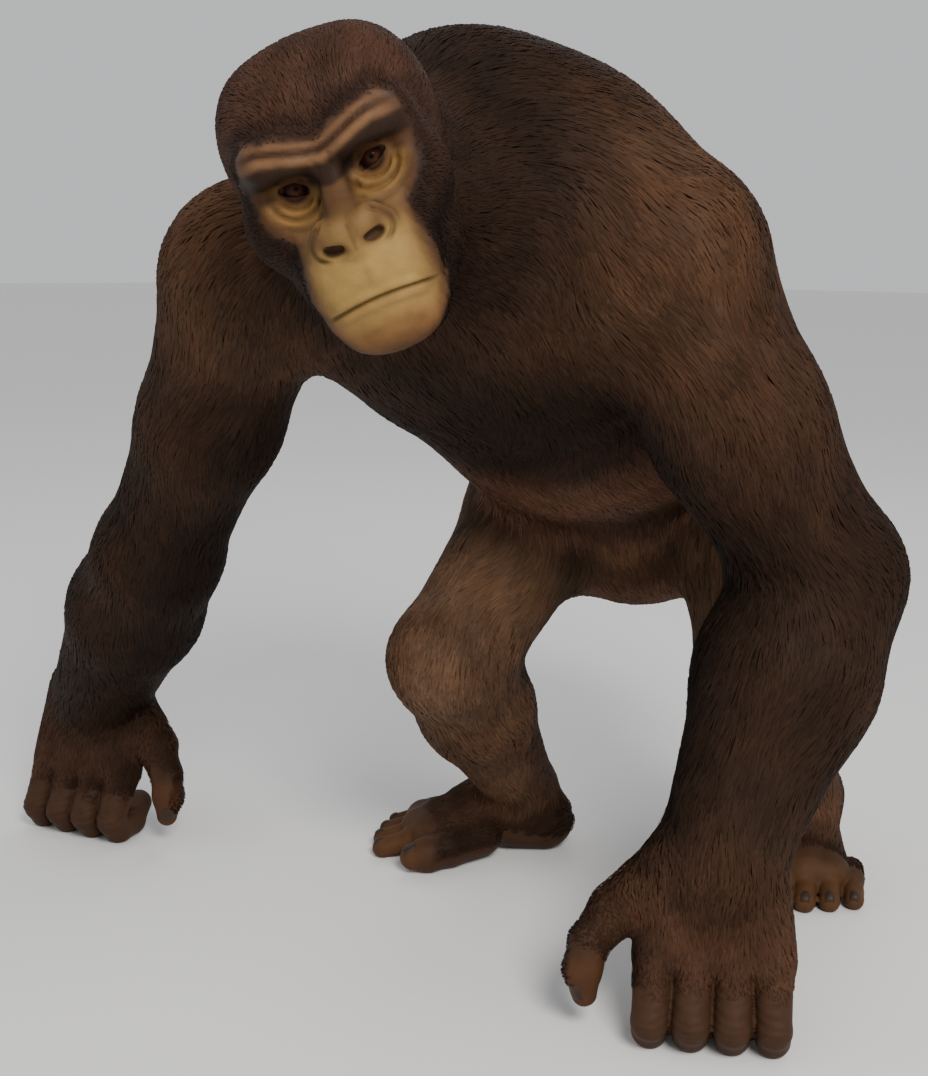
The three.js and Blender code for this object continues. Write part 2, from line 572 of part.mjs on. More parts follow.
// The origin is on the floor under the middle of the whole animal.
const boxes = Object.values(pieces).map((p) => p.boundingBox());
const middle = [0, 1].map((i) => (Math.min(...boxes.map((b) => b.min[i])) + Math.max(...boxes.map((b) => b.max[i]))) / 2);
for (const [name, piece] of Object.entries(pieces)) {
  const out = piece.getMesh();
  const geometry = new THREE.BufferGeometry();
  const points = new Float32Array(out.vertProperties.length);
  points.set(out.vertProperties);
  for (let i = 0; i < points.length; i += 3) {
    points[i] -= middle[0];
    points[i + 1] -= middle[1];
  }
  geometry.setAttribute('position', new THREE.BufferAttribute(points, 3));
  geometry.setIndex(new THREE.BufferAttribute(new Uint32Array(out.triVerts), 1));
  geometry.computeVertexNormals();
  const bare = /toe|finger|thumb|ear/.test(name);
  const color = name.startsWith('eye') ? EYE : name === 'head' ? FACE : name === 'neck' ? COAT_CROWN : bare ? DARK_SKIN : COAT;
  const roughness = name.startsWith('eye') ? 0.12 : bare || name === 'head' ? 0.6 : 0.92;
  const mesh = new THREE.Mesh(geometry, new THREE.MeshStandardMaterial({ color, roughness, metalness: 0 }));
  mesh.name = name;
  group.add(mesh);
}

export default group;
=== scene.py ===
# An adult male gorilla, life size, standing on its knuckles and soles.
# The bare skin is one sculpted surface; the coat is thousands of thin locks rooted in it.
import math
import bpy
import numpy as np
from mathutils import Matrix, Vector
from mathutils.kdtree import KDTree


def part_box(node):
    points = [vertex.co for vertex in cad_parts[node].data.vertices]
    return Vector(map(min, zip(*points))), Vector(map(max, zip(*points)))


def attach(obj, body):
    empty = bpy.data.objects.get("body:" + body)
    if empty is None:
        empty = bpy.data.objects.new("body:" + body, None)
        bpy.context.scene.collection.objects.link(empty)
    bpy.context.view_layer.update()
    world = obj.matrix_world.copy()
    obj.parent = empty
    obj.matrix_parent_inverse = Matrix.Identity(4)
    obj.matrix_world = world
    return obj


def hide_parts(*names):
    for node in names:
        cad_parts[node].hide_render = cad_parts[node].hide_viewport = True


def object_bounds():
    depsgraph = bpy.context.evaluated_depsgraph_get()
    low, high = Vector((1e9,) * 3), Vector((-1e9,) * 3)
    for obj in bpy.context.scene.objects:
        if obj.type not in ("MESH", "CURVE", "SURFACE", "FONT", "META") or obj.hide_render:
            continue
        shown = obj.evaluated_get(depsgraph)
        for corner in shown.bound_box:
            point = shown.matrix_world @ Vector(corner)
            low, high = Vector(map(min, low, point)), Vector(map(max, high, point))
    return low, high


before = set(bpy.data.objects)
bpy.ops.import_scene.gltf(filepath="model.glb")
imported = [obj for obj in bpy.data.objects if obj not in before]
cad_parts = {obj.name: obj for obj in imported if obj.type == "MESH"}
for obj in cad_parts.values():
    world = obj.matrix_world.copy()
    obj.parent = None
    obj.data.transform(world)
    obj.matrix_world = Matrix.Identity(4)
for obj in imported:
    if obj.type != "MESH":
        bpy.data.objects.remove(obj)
cad_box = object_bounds()

# ---------------------------------------------------------------- studio
# A pale painted floor, a large soft lamp in front, a wide weak one on the other side
# and a rim lamp behind. The camera stands in front, to the animal's left.
CAMERA_AT = (1.0217, -1.5673, 0.882)
CAMERA_YAW = 30.59
CAMERA_PITCH = 12.29
CAMERA_ROLL = 0.6
FOCAL_LENGTH = 53.0
FLOOR_COLOUR = (0.86, 0.855, 0.845, 1)
SKY_COLOUR = (0.86, 0.87, 0.89, 1)
SKY_STRENGTH = 0.75
LAMP_AIM = (0, 0, 0.6)

camera_data = bpy.data.cameras.new("camera")
camera_data.lens = FOCAL_LENGTH
camera_data.sensor_width = 36
camera_data.dof.use_dof = False
camera = bpy.data.objects.new("camera", camera_data)
turn = Matrix.Rotation(math.radians(CAMERA_YAW), 4, "Z")
nod = Matrix.Rotation(math.radians(90 - CAMERA_PITCH), 4, "X")
roll = Matrix.Rotation(math.radians(CAMERA_ROLL), 4, "Z")
camera.matrix_world = Matrix.Translation(CAMERA_AT) @ turn @ nod @ roll
bpy.context.collection.objects.link(camera)
bpy.context.scene.camera = camera

world = bpy.data.worlds.new("studio")
bpy.context.scene.world = world
world.use_nodes = True
sky = world.node_tree.nodes["Background"].inputs
sky["Color"].default_value = SKY_COLOUR
sky["Strength"].default_value = SKY_STRENGTH


def lamp(name, place, width, watts, colour):
    data = bpy.data.lights.new(name, "AREA")
    data.shape = "DISK"
    data.size = width
    data.energy = watts
    data.color = colour
    item = bpy.data.objects.new(name, data)
    turned = (Vector(place) - Vector(LAMP_AIM)).to_track_quat("Z", "Y").to_matrix().to_4x4()
    item.matrix_world = Matrix.Translation(place) @ turned
    bpy.context.collection.objects.link(item)


lamp("key_lamp", (2.3, -2.0, 2.7), 1.4, 135, (1, 0.965, 0.92))
lamp("fill_lamp", (-2.6, -1.9, 1.7), 2.2, 12, (0.93, 0.96, 1))
lamp("rim_lamp", (-0.8, 2.6, 2.6), 1.8, 12, (1, 0.98, 0.96))


class Wire:
    """A node's socket, on which arithmetic adds Math nodes."""

    def __init__(self, tree, socket):
        self.tree = tree
        self.socket = socket

    def math(self, operation, *values):
        node = self.tree.nodes.new("ShaderNodeMath")
        node.operation = operation
        for place, value in zip(node.inputs, values):
            plug(self.tree, place, value)
        return Wire(self.tree, node.outputs[0])

    def __add__(self, other):
        return self.math("ADD", self, other)

    def __mul__(self, other):
        return self.math("MULTIPLY", self, other)

    __radd__ = __add__
    __rmul__ = __mul__


def plug(tree, place, value):
    if isinstance(value, Wire):
        tree.links.new(value.socket, place)
    else:
        place.default_value = value


class Finish:
    """A material whose nodes are made one by one."""

    def __init__(self, name):
        self.material = bpy.data.materials.new(name)
        self.material.use_nodes = True
        self.tree = self.material.node_tree
        self.tree.nodes.clear()

    def node(self, kind, settings, values, output=0):
        made = self.tree.nodes.new(kind)
        for name, setting in settings.items():
            if name == "stops":
                set_stops(made.color_ramp, setting)
            else:
                setattr(made, name, setting)
        for name, value in values.items():
            plug(self.tree, made.inputs[name], value)
        return Wire(self.tree, made.outputs[output]) if made.outputs else None

    def blend(self, mode, amount, first, second):
        """Two colours mixed, by the factor and the two colour sockets of a Mix node."""
        return self.node("ShaderNodeMix", {"data_type": "RGBA", "blend_type": mode},
                         {0: amount, 6: first, 7: second}, 2)

    def surface(self, values):
        shader = self.node("ShaderNodeBsdfPrincipled", {}, values)
        self.node("ShaderNodeOutputMaterial", {}, {"Surface": shader})
        return self.material


def set_stops(ramp, stops):
    while len(ramp.elements) < len(stops):
        ramp.elements.new(0.5)
    for element, (place, value) in zip(ramp.elements, stops):
        element.position = place
        element.color = (value, value, value, 1)


floor_finish = Finish("floor_paint")
floor_speckle = floor_finish.node("ShaderNodeTexNoise", {}, {"Scale": 3.0, "Detail": 4.0})
floor_finish.surface({
    "Base Color": floor_finish.blend("MULTIPLY", 0.05, FLOOR_COLOUR, floor_speckle),
    "Roughness": 0.85,
})
bpy.ops.mesh.primitive_circle_add(vertices=96, radius=14, fill_type="NGON", location=(0, 0, -0.0005))
floor = bpy.context.object
floor.name = "floor"
floor.data.materials.append(floor_finish.material)

# ---------------------------------------------------------------- flesh
# The animal's body under its coat: rounded masses of bone, muscle and fat that run
# into each other. Each mass carries its own coat depth and the way its hair lies.
# Lengths are millimetres here and metres once a mesh is made.
MM = 0.001
HEAD_SCALE = 0.86
HAND_SCALE = 1.16
FOOT_SCALE = 1.15
UP = np.array([0.0, 0.0, 1.0])
SHOULDER_LINE = np.array([29.0, -299.0, 822.0])
PELVIS = np.array([17.0, 235.0, 525.0])
EYE_LINE = np.array([98.0, -611.0, 899.0])
FACE_YAW = math.radians(30)
FACE_PITCH = math.radians(8)
FACE_TILT = math.radians(23.5)
EYE_PLACE = np.array([40.0, -106.0, 43.0])


def unit(v):
    return v / np.linalg.norm(v)


class Place:
    """A part's own axes: x to its left, y to its back, z up."""

    def __init__(self, origin, forward, up, scale=1.0):
        back = -unit(forward)
        left = unit(np.cross(back, up))
        self.axes = np.array([left, back, np.cross(left, back)])
        self.origin = origin
        self.scale = scale

    def out(self, point):
        return self.origin + self.scale * np.asarray(point, float) @ self.axes

    def inward(self, points):
        return (points - self.origin) @ self.axes.T / self.scale

    def way(self, x, y, z):
        return unit(np.array([x, y, z], float) @ self.axes)


def level_place(origin, yaw, scale=1.0):
    ahead = np.array([math.sin(math.radians(yaw)), -math.cos(math.radians(yaw)), 0])
    return Place(origin, ahead, UP, scale)


ahead = unit(SHOULDER_LINE - PELVIS)
left_shoulder = np.array([234.0, -240.0, 828.0])
right_shoulder = np.array([-190.0, -345.0, 800.0])
chest = Place(SHOULDER_LINE, ahead, np.cross(ahead, unit(left_shoulder - right_shoulder)))
pelvis = Place(PELVIS, ahead, UP)
face_ahead = np.array([
    math.sin(FACE_YAW) * math.cos(FACE_PITCH),
    -math.cos(FACE_YAW) * math.cos(FACE_PITCH),
    -math.sin(FACE_PITCH)])
face_up = np.array(Matrix.Rotation(FACE_TILT, 3, face_ahead.tolist())) @ UP
between_eyes = Place(EYE_LINE, face_ahead, face_up, HEAD_SCALE)
head = Place(between_eyes.out((0, 108, -45)), face_ahead, face_up, HEAD_SCALE)


class Side:
    """One arm and leg. The sign is 1 on the animal's left and -1 on its right."""

    def __init__(self, word, sign, joints, hand_yaw, foot_yaw, girth):
        self.word = word
        self.sign = sign
        self.girth = girth
        self.shoulder, self.elbow, self.wrist, self.hip, self.knee, self.ankle = map(np.array, joints)
        self.hand = level_place(self.wrist, hand_yaw, HAND_SCALE)
        self.foot = level_place(self.ankle * (1, 1, 0), foot_yaw, FOOT_SCALE)


LEFT = Side("left", 1, [
    left_shoulder, [359.0, -60, 474], [318.0, -228, 185],
    [116.0, 275, 540], [250.0, 65, 330], [248.0, 280, 88]], 22, 18, 1.03)
RIGHT = Side("right", -1, [
    right_shoulder, [-428.0, -250, 438], [-640.0, -148, 185],
    [-90.0, 215, 515], [-89.0, -105, 318], [-93.0, 93, 88]], 6, -54, 0.89)
SIDES = (LEFT, RIGHT)


def toward(a, b, share):
    return a + (b - a) * share


class Mass:
    """A round mass with its coat's depth, the hair's way, length and tone, and its piece's name."""

    def __init__(self, shape, blend, coat, flow, hair, tone, piece, hollow=False):
        self.shape, self.middle, self.reach = shape
        self.blend = blend
        self.coat = coat
        self.flow = np.asarray(flow, float)
        self.hair = hair
        self.tone = tone
        self.piece = piece
        self.hollow = hollow


def cone(a, b, ra, rb):
    run = b - a
    square = run @ run

    def distance(points):
        off = points - a
        share = np.clip(off @ run / square, 0, 1)
        return np.linalg.norm(off - share[:, None] * run, axis=1) - (ra + (rb - ra) * share)
    return distance, (a + b) / 2, math.sqrt(square) / 2 + max(ra, rb)


def oval(place, centre, radii, coat=0):
    half = np.array(radii, float) * place.scale - coat
    middle = place.out(centre)

    def distance(points):
        spot = (points - middle) @ place.axes.T / half
        k0 = np.sqrt((spot ** 2).sum(1))
        k1 = np.sqrt(((spot / half) ** 2).sum(1))
        return k0 * (k0 - 1) / np.maximum(k1, 1e-6)
    return distance, middle, max(half)


def rod(place, a, b, ra, rb):
    return cone(place.out(a), place.out(b), ra * place.scale, rb * place.scale)


def smooth_least(a, b, blend):
    """The lesser of two depths, rounded where they are close."""
    near = np.maximum(blend - np.abs(a - b), 0) / blend
    return np.minimum(a, b) - near * near * blend * 0.25


def joined(masses, points, depth, middle, reach):
    """A depth at each point, with the masses that are near joined to it."""
    for mass in masses:
        if np.linalg.norm(mass.middle - middle) - reach - mass.reach > mass.blend:
            continue
        value = mass.shape(points)
        if mass.hollow:
            depth = -smooth_least(-depth, value, mass.blend)
        else:
            depth = smooth_least(depth, value, mass.blend)
    return depth


# The trunk: hair runs from the shoulders to the tail and down the flanks.
TRUNK_COAT = 5.5
back_down = unit(-ahead - UP * 0.55)
trunk_masses = []
for centre, radii, blend, tone, piece in [
        ((0, 150, 34), (205, 250, 186), 60, "back", "ribs"),
        ((0, 80, 126), (165, 205, 141), 90, "back", "withers"),
        ((66, 20, -28), (102, 120, 86), 50, "chest", "breast"),
        ((-66, 20, -28), (102, 120, 86), 50, "chest", "breast"),
        ((118, 130, 49), (102, 205, 134), 80, "back", "flank_left"),
        ((-118, 130, 49), (102, 205, 134), 80, "back", "flank_right"),
        ((0, 370, 2), (198, 205, 158), 70, "belly", "belly")]:
    trunk_masses.append(Mass(oval(chest, centre, radii, TRUNK_COAT), blend, TRUNK_COAT,
                             back_down, 40, tone, piece))
for centre, radii, blend in [
        ((0, -4, -50), (152, 135, 146), 70),
        ((68, 64, -34), (84, 86, 108), 40),
        ((-68, 64, -34), (84, 86, 108), 40)]:
    trunk_masses.append(Mass(oval(pelvis, centre, radii, TRUNK_COAT), blend, TRUNK_COAT,
                             unit(-ahead * 0.6 - UP), 38, "groin", "hips"))

# The neck: three round columns from the shoulders to the skull.
neck_masses = []
for start, finish, wide, narrow, blend in [
        ((0, -20, 60), (0, 60, 6), 135, 80, 60),
        ((60, -10, 20), (30, 34, -36), 90, 58, 50),
        ((-60, -10, 20), (-30, 34, -36), 90, 58, 50)]:
    a = chest.out(start)
    b = head.out(finish)
    neck_masses.append(Mass(cone(a, b, wide - TRUNK_COAT, narrow - 10), blend, TRUNK_COAT,
                            unit(unit(a - b) - UP * 0.35), 36, "back", "neck"))

# Arms and legs: hair runs down the limb and a little to its back.
ARM_COAT = 5
LEG_COAT = 4.5
arm_masses = []
leg_masses = []
for side in SIDES:
    s, word, g = side.sign, side.word, side.girth
    biceps = toward(side.shoulder, side.elbow, 0.5) - chest.axes[0] * s * 8
    belly_of_arm = toward(side.elbow, side.wrist, 0.35)
    calf = toward(side.knee, side.ankle, 0.35)
    arm_down = unit(side.elbow - side.shoulder)
    fore_down = unit(side.wrist - side.elbow)
    thigh_down = unit(side.knee - side.hip)
    shin_down = unit(side.ankle - side.knee)
    out_down = unit(chest.axes[0] * s * 0.7 - UP * 0.7 + chest.axes[1] * 0.35)
    for a, b, ra, rb, blend, flow, hair, tone, piece in [
            (chest.out((s * 105, 40, 66)), side.shoulder, 100, 98, 80,
             out_down, 40, "shoulder", "shoulder"),
            (toward(side.shoulder, side.elbow, 0.06), biceps, 97, 87 * g, 34,
             arm_down, 38, "biceps", "shoulder"),
            (biceps, side.elbow, 88 * g, 80 * g, 40, arm_down, 38, "arm", "upper_arm"),
            (side.elbow, belly_of_arm, 90 * g, 94 * g, 30, fore_down, 38, "arm", "forearm"),
            (belly_of_arm, side.wrist, 94 * g, 64, 30, fore_down, 36, "arm", "forearm")]:
        thin = 4.5 if b is side.wrist else ARM_COAT
        arm_masses.append(Mass(cone(a, b, ra - ARM_COAT, rb - thin), blend, ARM_COAT,
                               unit(flow + chest.axes[1] * 0.3), hair, tone, f"{piece}_{word}"))
    for a, b, ra, rb, blend, flow, tone, piece in [
            (pelvis.out((s * 70, 34, -8)), toward(side.hip, side.knee, 0.25), 97, 93, 60,
             thigh_down, "haunch", "thigh"),
            (toward(side.hip, side.knee, 0.2), side.knee, 94, 72, 50, thigh_down, "leg", "thigh"),
            (side.knee, calf, 74, 70, 30, shin_down, "shin", "lower_leg"),
            (calf, side.ankle, 72, 46, 30, shin_down, "shin", "lower_leg")]:
        thin = 4 if b is side.ankle else LEG_COAT
        leg_masses.append(Mass(cone(a, b, ra - LEG_COAT, rb - thin), blend, LEG_COAT,
                               unit(flow - UP * 0.3), 32, tone, f"{piece}_{word}"))

# The skull: a crested crown and jaw muscles under short hair, a bare face with a
# heavy brow, deep eyes, a broad nose and a long muzzle. Its own lengths are unscaled.
CROWN_COAT = 3.6
crown_back = head.way(0, 1, 0.25)
LONGEST_CHEEK_HAIR = 16
head_masses = []


def add_head(shape, blend, coat, flow, hair, tone="crown", hollow=False):
    piece = "crown" if hair > LONGEST_CHEEK_HAIR else "cheeks"
    head_masses.append(Mass(shape, blend, coat, flow, hair, tone, piece, hollow))


def add_bare(shape, blend, hair=0, hollow=False):
    add_head(shape, blend, 0, crown_back, hair, "crown", hollow)


def add_ear(shape, blend, hollow=False):
    add_head(shape, blend, 0, head.way(0, 1, 0), 0, "ear", hollow)


for centre, radii, blend, coat, flow, hair in [
        ((0, 10, 60), (92, 112, 92), 30, CROWN_COAT, crown_back, 20),
        ((53, -10, 80), (60, 84, 84), 40, CROWN_COAT, head.way(0.25, 1, 0.2), 20),
        ((-53, -10, 80), (60, 84, 84), 40, CROWN_COAT, head.way(-0.25, 1, 0.2), 20),
        ((0, 10, 86), (60, 86, 76), 45, CROWN_COAT, crown_back, 22),
        ((0, 88, 36), (82, 62, 92), 50, TRUNK_COAT, head.way(0, 0.8, -0.6), 30)]:
    add_head(oval(head, centre, radii, coat), blend, coat, flow, hair)
for s in (1, -1):
    add_bare(rod(head, (0, -127, 70), (s * 24, -132, 70), 19, 18), 12, 8)
    add_bare(rod(head, (s * 24, -132, 70), (s * 50, -127, 77), 18, 19), 12, 8)
    add_bare(rod(head, (s * 50, -127, 77), (s * 76, -100, 77), 19, 14), 32, 8)
    add_head(oval(head, (s * 72, -86, 12), (35, 42, 42)), 28, 0, head.way(s, 0.6, -0.5), 12, "cheek")
muzzle_back = head.way(0, 0.6, -0.6)
chin_back = head.way(0, 0.9, -0.3)
add_head(oval(head, (0, -112, -32), (66, 60, 58)), 30, 0, muzzle_back, 10, "cheek")
add_head(oval(head, (0, -138, -58), (65, 42, 35)), 24, 0, muzzle_back, 8, "cheek")
add_head(oval(head, (0, -98, -92), (70, 70, 38), 2), 24, 3, chin_back, 16, "cheek")
add_head(oval(head, (0, -128, -112), (50, 34, 27), 1), 20, 1, chin_back, 12, "cheek")
for s in (1, -1):
    jowl_back = head.way(s * 0.3, 0.7, -0.7)
    add_head(oval(head, (s * 56, -38, -44), (37, 54, 60), 6), 36, 6, jowl_back, 24, "cheek")

# Nose: a bridge that widens to a round tip between two padded nostril rims.
add_bare(rod(head, (0, -126, 54), (0, -152, 12), 12, 17), 16)
add_bare(oval(head, (0, -168, -5), (20, 14, 17)), 12)
for s in (1, -1):
    rim = [(s * 5, -174, -23), (s * 12, -176, -3), (s * 25, -168, 0),
           (s * 34, -159, -11), (s * 31, -158, -25)]
    for a, b in zip(rim, rim[1:]):
        add_bare(rod(head, a, b, 8.5, 8.5), 9)
    add_bare(oval(head, (s * 21, -161, -11), (16, 17, 17)), 8)
for s in (1, -1):
    for start, finish in [
            ((s * 12, -190, -23), (s * 14, -176, -18)),
            ((s * 20, -188, -22), (s * 20, -174, -17)),
            ((s * 28, -182, -20), (s * 26, -171, -15))]:
        add_bare(rod(head, start, finish, 4.6, 3.6), 6, hollow=True)

# Eyes: a hollow under the brow, lids over the ball and an almond slit between them.
EYE_RADIUS = 11.5
LID = 2.4
for s in (1, -1):
    eye = EYE_PLACE * (s, 1, 1)
    ball = EYE_RADIUS / HEAD_SCALE
    lid = ball + LID
    add_bare(oval(head, eye + (s * 3, -30, -1), (25, 22, 15)), 14, hollow=True)
    add_bare(oval(head, eye + (0, 2, 0), (lid + 6.0, lid, lid)), 9)
    add_bare(oval(head, (s * 17, -112, 28), (11, 15, 24)), 8)
    for corner in ((-s * 12, -10.5, -5), (s * 12.5, -9.5, 3.5)):
        add_bare(rod(head, eye + (0, -15, 0), eye + corner, 6.5, 3.5), 2, hollow=True)

# Ears: small, close to the head, each a thin shell with a rolled rim and a lobe.
for s in (1, -1):
    add_ear(oval(head, (s * 94, 20, 34), (10, 19, 29)), 8)
    turns = [math.radians(t) for t in range(-150, 121, 30)]
    loop = [(s * (101 + 3 * math.cos(t)), 18 + 18 * math.cos(t), 36 + 26 * math.sin(t)) for t in turns]
    for a, b in zip(loop, loop[1:]):
        add_ear(rod(head, a, b, 5, 5), 3)
    add_ear(oval(head, (s * 104, 12, 34), (9, 12, 18)), 4, hollow=True)
    turns = [math.radians(t) for t in range(-60, 91, 30)]
    inner_ridge = [(s * 101, 16 + 12 * math.cos(t), 36 + 17 * math.sin(t)) for t in turns]
    for a, b in zip(inner_ridge, inner_ridge[1:]):
        add_ear(rod(head, a, b, 3, 3), 3)
    add_ear(oval(head, (s * 98, -1, 30), (7, 6, 8)), 5)
    add_ear(oval(head, (s * 99, 13, 6), (6, 9, 8)), 6)

# Hands: folded fists that stand on the middle bones of four fingers, the thumb
# hanging free on the inner side. The back is haired and the fingers are bare.
KNUCKLE_STEP = 36
FIRST_KNUCKLE = 53
# Each finger's radius and share of the longest one's length, from index to little finger.
finger_sizes = [(17.3, 0.96), (17.8, 1.0), (17.4, 0.98), (16.4, 0.88)]
nail_beds = []
for side in SIDES:
    s, hand = side.sign, side.hand
    down_hand = hand.way(0, -0.25, -1)
    back_name = f"hand_{side.word}"

    def add_hand(a, b, ra, rb, blend, hair, coat=0):
        shape = rod(side.hand, a, b, ra, rb)
        arm_masses.append(Mass(shape, blend, coat, down_hand, hair, "hand", back_name))
    for i in range(len(finger_sizes)):
        x = s * (i * KNUCKLE_STEP - FIRST_KNUCKLE)
        add_hand((x * 0.55, 2, 10), (x * 0.92, -22, -78), 30, 24, 16, 20, 4)
    add_hand((-s * 42, 2, -8), (-s * 90, -6, -46), 29, 25, 16, 12, 4)
    add_hand((-s * 30, 12, -60), (s * 40, 12, -66), 25, 22, 14, 6, 2)
    for i, (r, long) in enumerate(finger_sizes):
        x = s * (i * KNUCKLE_STEP - FIRST_KNUCKLE)
        low = 0.84 * r - (side.wrist[2] + 1.5) / HAND_SCALE
        joints = [
            (x * 0.98, -27, -84),
            (x * 1.03, -30 - 26 * long, low + 17),
            (x * 1.03, -30 - 12 * long, low + 1.5),
            (x * 1.03, -30 + 16 * long, low + 2),
            (x * 1.03, -30 + 32 * long, low + 20),
            (x * 1.02, -34, low + 36)]
        sizes = [r + 2.2, r - 0.5, r - 1, r * 0.92, r * 0.84, r * 0.72]
        for a, b, ra, rb in zip(joints, joints[1:], sizes, sizes[1:]):
            add_hand(a, b, ra, rb, 3.5, 0)
    thumb = [(-s * 90, -10, -44), (-s * 113, -22, -72), (-s * 118, -28, -98), (-s * 116, -28, -122)]
    for a, b, ra, rb in zip(thumb, thumb[1:], (23, 18.5, 18), (18.5, 18, 12)):
        add_hand(a, b, ra, rb, 5, 0)
    nail_beds.append((hand, (-s * 117, -28, -116), (-s * 0.55, -0.8, 0), (0, 0, -1), 17, 17))

# Feet: a flat sole, four short toes and a great toe that stands off like a thumb.
TOE_STEP = 25
for side in SIDES:
    s, foot = side.sign, side.foot
    to_toes = foot.way(0, -1, -0.25)
    foot_name = f"foot_{side.word}"

    def add_foot(a, b, ra, rb, blend, hair, coat=0):
        shape = rod(side.foot, a, b, ra, rb)
        leg_masses.append(Mass(shape, blend, coat, to_toes, hair, "foot", foot_name))
    add_foot((0, 28, 33), (0, -10, 38), 36, 37, 16, 12, 3)
    add_foot((0, 0, 70), (0, -62, 44), 40, 32, 20, 20, 4)
    add_foot((-s * 14, -60, 32), (-s * 24, -108, 27), 32, 26, 14, 12, 2)
    add_foot((s * 14, -50, 30), (s * 30, -112, 24), 30, 24, 14, 12, 2)
    add_foot((0, -100, 28), (0, -118, 25), 31, 25, 14, 8, 1)
    for i, (back, r) in enumerate([(0, 12.6), (2, 12.5), (10, 12.2), (22, 11.6)]):
        x = s * (i * TOE_STEP - 20)
        low = 0.9 * r - 1.1
        toe = [(x, -104 + back, low + 9), (x * 1.03, -133 + back, low + 9),
               (x * 1.05, -152 + back, low + 3), (x * 1.06, -166 + back, low)]
        for a, b, ra, rb in zip(toe, toe[1:], (r + 1.5, r + 1, r - 0.8), (r + 1, r - 0.8, r - 0.5)):
            add_foot(a, b, ra, rb, 4, 0)
        nail_bed = (x * 1.06, -170 + back, low + 1)
        nail_beds.append((foot, nail_bed, (0, -0.25, 1), (0, -1, -0.25), 11.5, 12))
    great = [(-s * 34, -50, 28), (-s * 56, -90, 23), (-s * 66, -116, 20), (-s * 69, -133, 18)]
    for a, b, ra, rb in zip(great, great[1:], (24, 21, 20), (21, 20, 15)):
        add_foot(a, b, ra, rb, 6, 0)
    nail_beds.append((foot, (-s * 69.5, -136, 20), (-s * 0.1, -0.3, 1), (-s * 0.15, -1, -0.3), 18, 18))

front_masses = neck_masses + head_masses + arm_masses
all_masses = trunk_masses + front_masses + leg_masses


def smooth(low, high, value):
    share = np.clip((value - low) / (high - low), 0, 1)
    return share * share * (3 - 2 * share)


def waves(points, length, seed):
    """A smooth random number for each point, between about -1 and 1."""
    pick = np.random.default_rng(seed)
    total = 0
    for _ in range(6):
        way = unit(pick.normal(size=3))
        turns = 2 * math.pi / length / pick.uniform(0.7, 1.5)
        total = total + np.sin(points @ way * turns + pick.uniform(0, 7))
    return total / 2.6


# Wrinkles and folds of the face, as lines seen from straight ahead. Each has its
# points, its width and its depth; a negative depth is a ridge.
def arc(centre, radius, start, end, steps=9):
    turns = np.radians(np.linspace(start, end, steps))
    return [(centre[0] + radius * math.cos(t), centre[1] + radius * math.sin(t)) for t in turns]


def curve(points):
    """The same line with its corners rounded."""
    for _ in range(3):
        cut = [points[0]]
        for (x0, z0), (x1, z1) in zip(points, points[1:]):
            cut.append((x0 * 0.75 + x1 * 0.25, z0 * 0.75 + z1 * 0.25))
            cut.append((x0 * 0.25 + x1 * 0.75, z0 * 0.25 + z1 * 0.75))
        points = cut + [points[-1]]
    return points


mouth_line = [(x, -74 - 8 * (x / 54) ** 2) for x in (0, 12, 24, 36, 48, 61)]
eye_spot = (40.0, 43.0)
nose_crease = curve([(21, 34), (20, 18), (27, 8), (37, 0), (43, -12), (39, -24), (24, -29)])
brow_line = [(0, 71), (10, 73), (24, 78), (40, 84), (58, 89), (76, 88)]
face_lines = [
    (mouth_line, 2.1, 4.2),
    ([(x, z + 7) for x, z in mouth_line[:5]], 4.5, -1.2),
    ([(x, z - 7) for x, z in mouth_line[:5]], 5.0, -1.8),
    (arc(eye_spot, 18.5, -140, -8), 1.6, 1.8),
    (arc(eye_spot, 22.5, -136, -14), 2.8, -2.2),
    (arc(eye_spot, 27.5, -132, -18), 1.9, 2.6),
    (arc(eye_spot, 32, -124, -26), 3.2, -1.8),
    (arc(eye_spot, 37, -112, -34), 2.2, 1.6),
    (nose_crease, 2.6, 4.0),
    (brow_line, 2.2, 2.6),
    ([(x, z + 7) for x, z in brow_line], 3.4, -1.8),
    ([(x, z - 8) for x, z in brow_line], 3.6, -1.6),
    ([(6, 54), (8, 61), (9, 68)], 3.0, 1.6),
    ([(60, 12), (63, -8), (61, -30), (62, -56)], 4.0, 1.8),
    ([(0, 0), (0, -28)], 2.0, 1.3),
    ([(60, 51), (76, 60)], 1.6, 1.2),
    ([(60, 43), (76, 44)], 1.6, 1.2),
    ([(58, 36), (73, 29)], 1.6, 1.2),
    ([(0, -48), (0, -68)], 5.0, 1.0),
    ([(0, -106), (20, -108), (36, -113)], 6.0, 0.9)]


def away_from(line, x, z):
    """Each point's squared distance to a line, and the share of the line passed there."""
    least, passed, done = np.full(len(x), 1e6), np.zeros(len(x)), 0
    for (x0, z0), (x1, z1) in zip(line, line[1:]):
        dx, dz = x1 - x0, z1 - z0
        long = math.hypot(dx, dz)
        share = np.clip(((x - x0) * dx + (z - z0) * dz) / long ** 2, 0, 1)
        square = (x - x0 - share * dx) ** 2 + (z - z0 - share * dz) ** 2
        passed = np.where(square < least, done + share * long, passed)
        least = np.minimum(least, square)
        done += long
    return least, passed / done


def face_spot(points):
    """Points in the head's own lengths, its right half laid over its left."""
    x, y, z = head.inward(points).T
    return np.abs(x), y, z


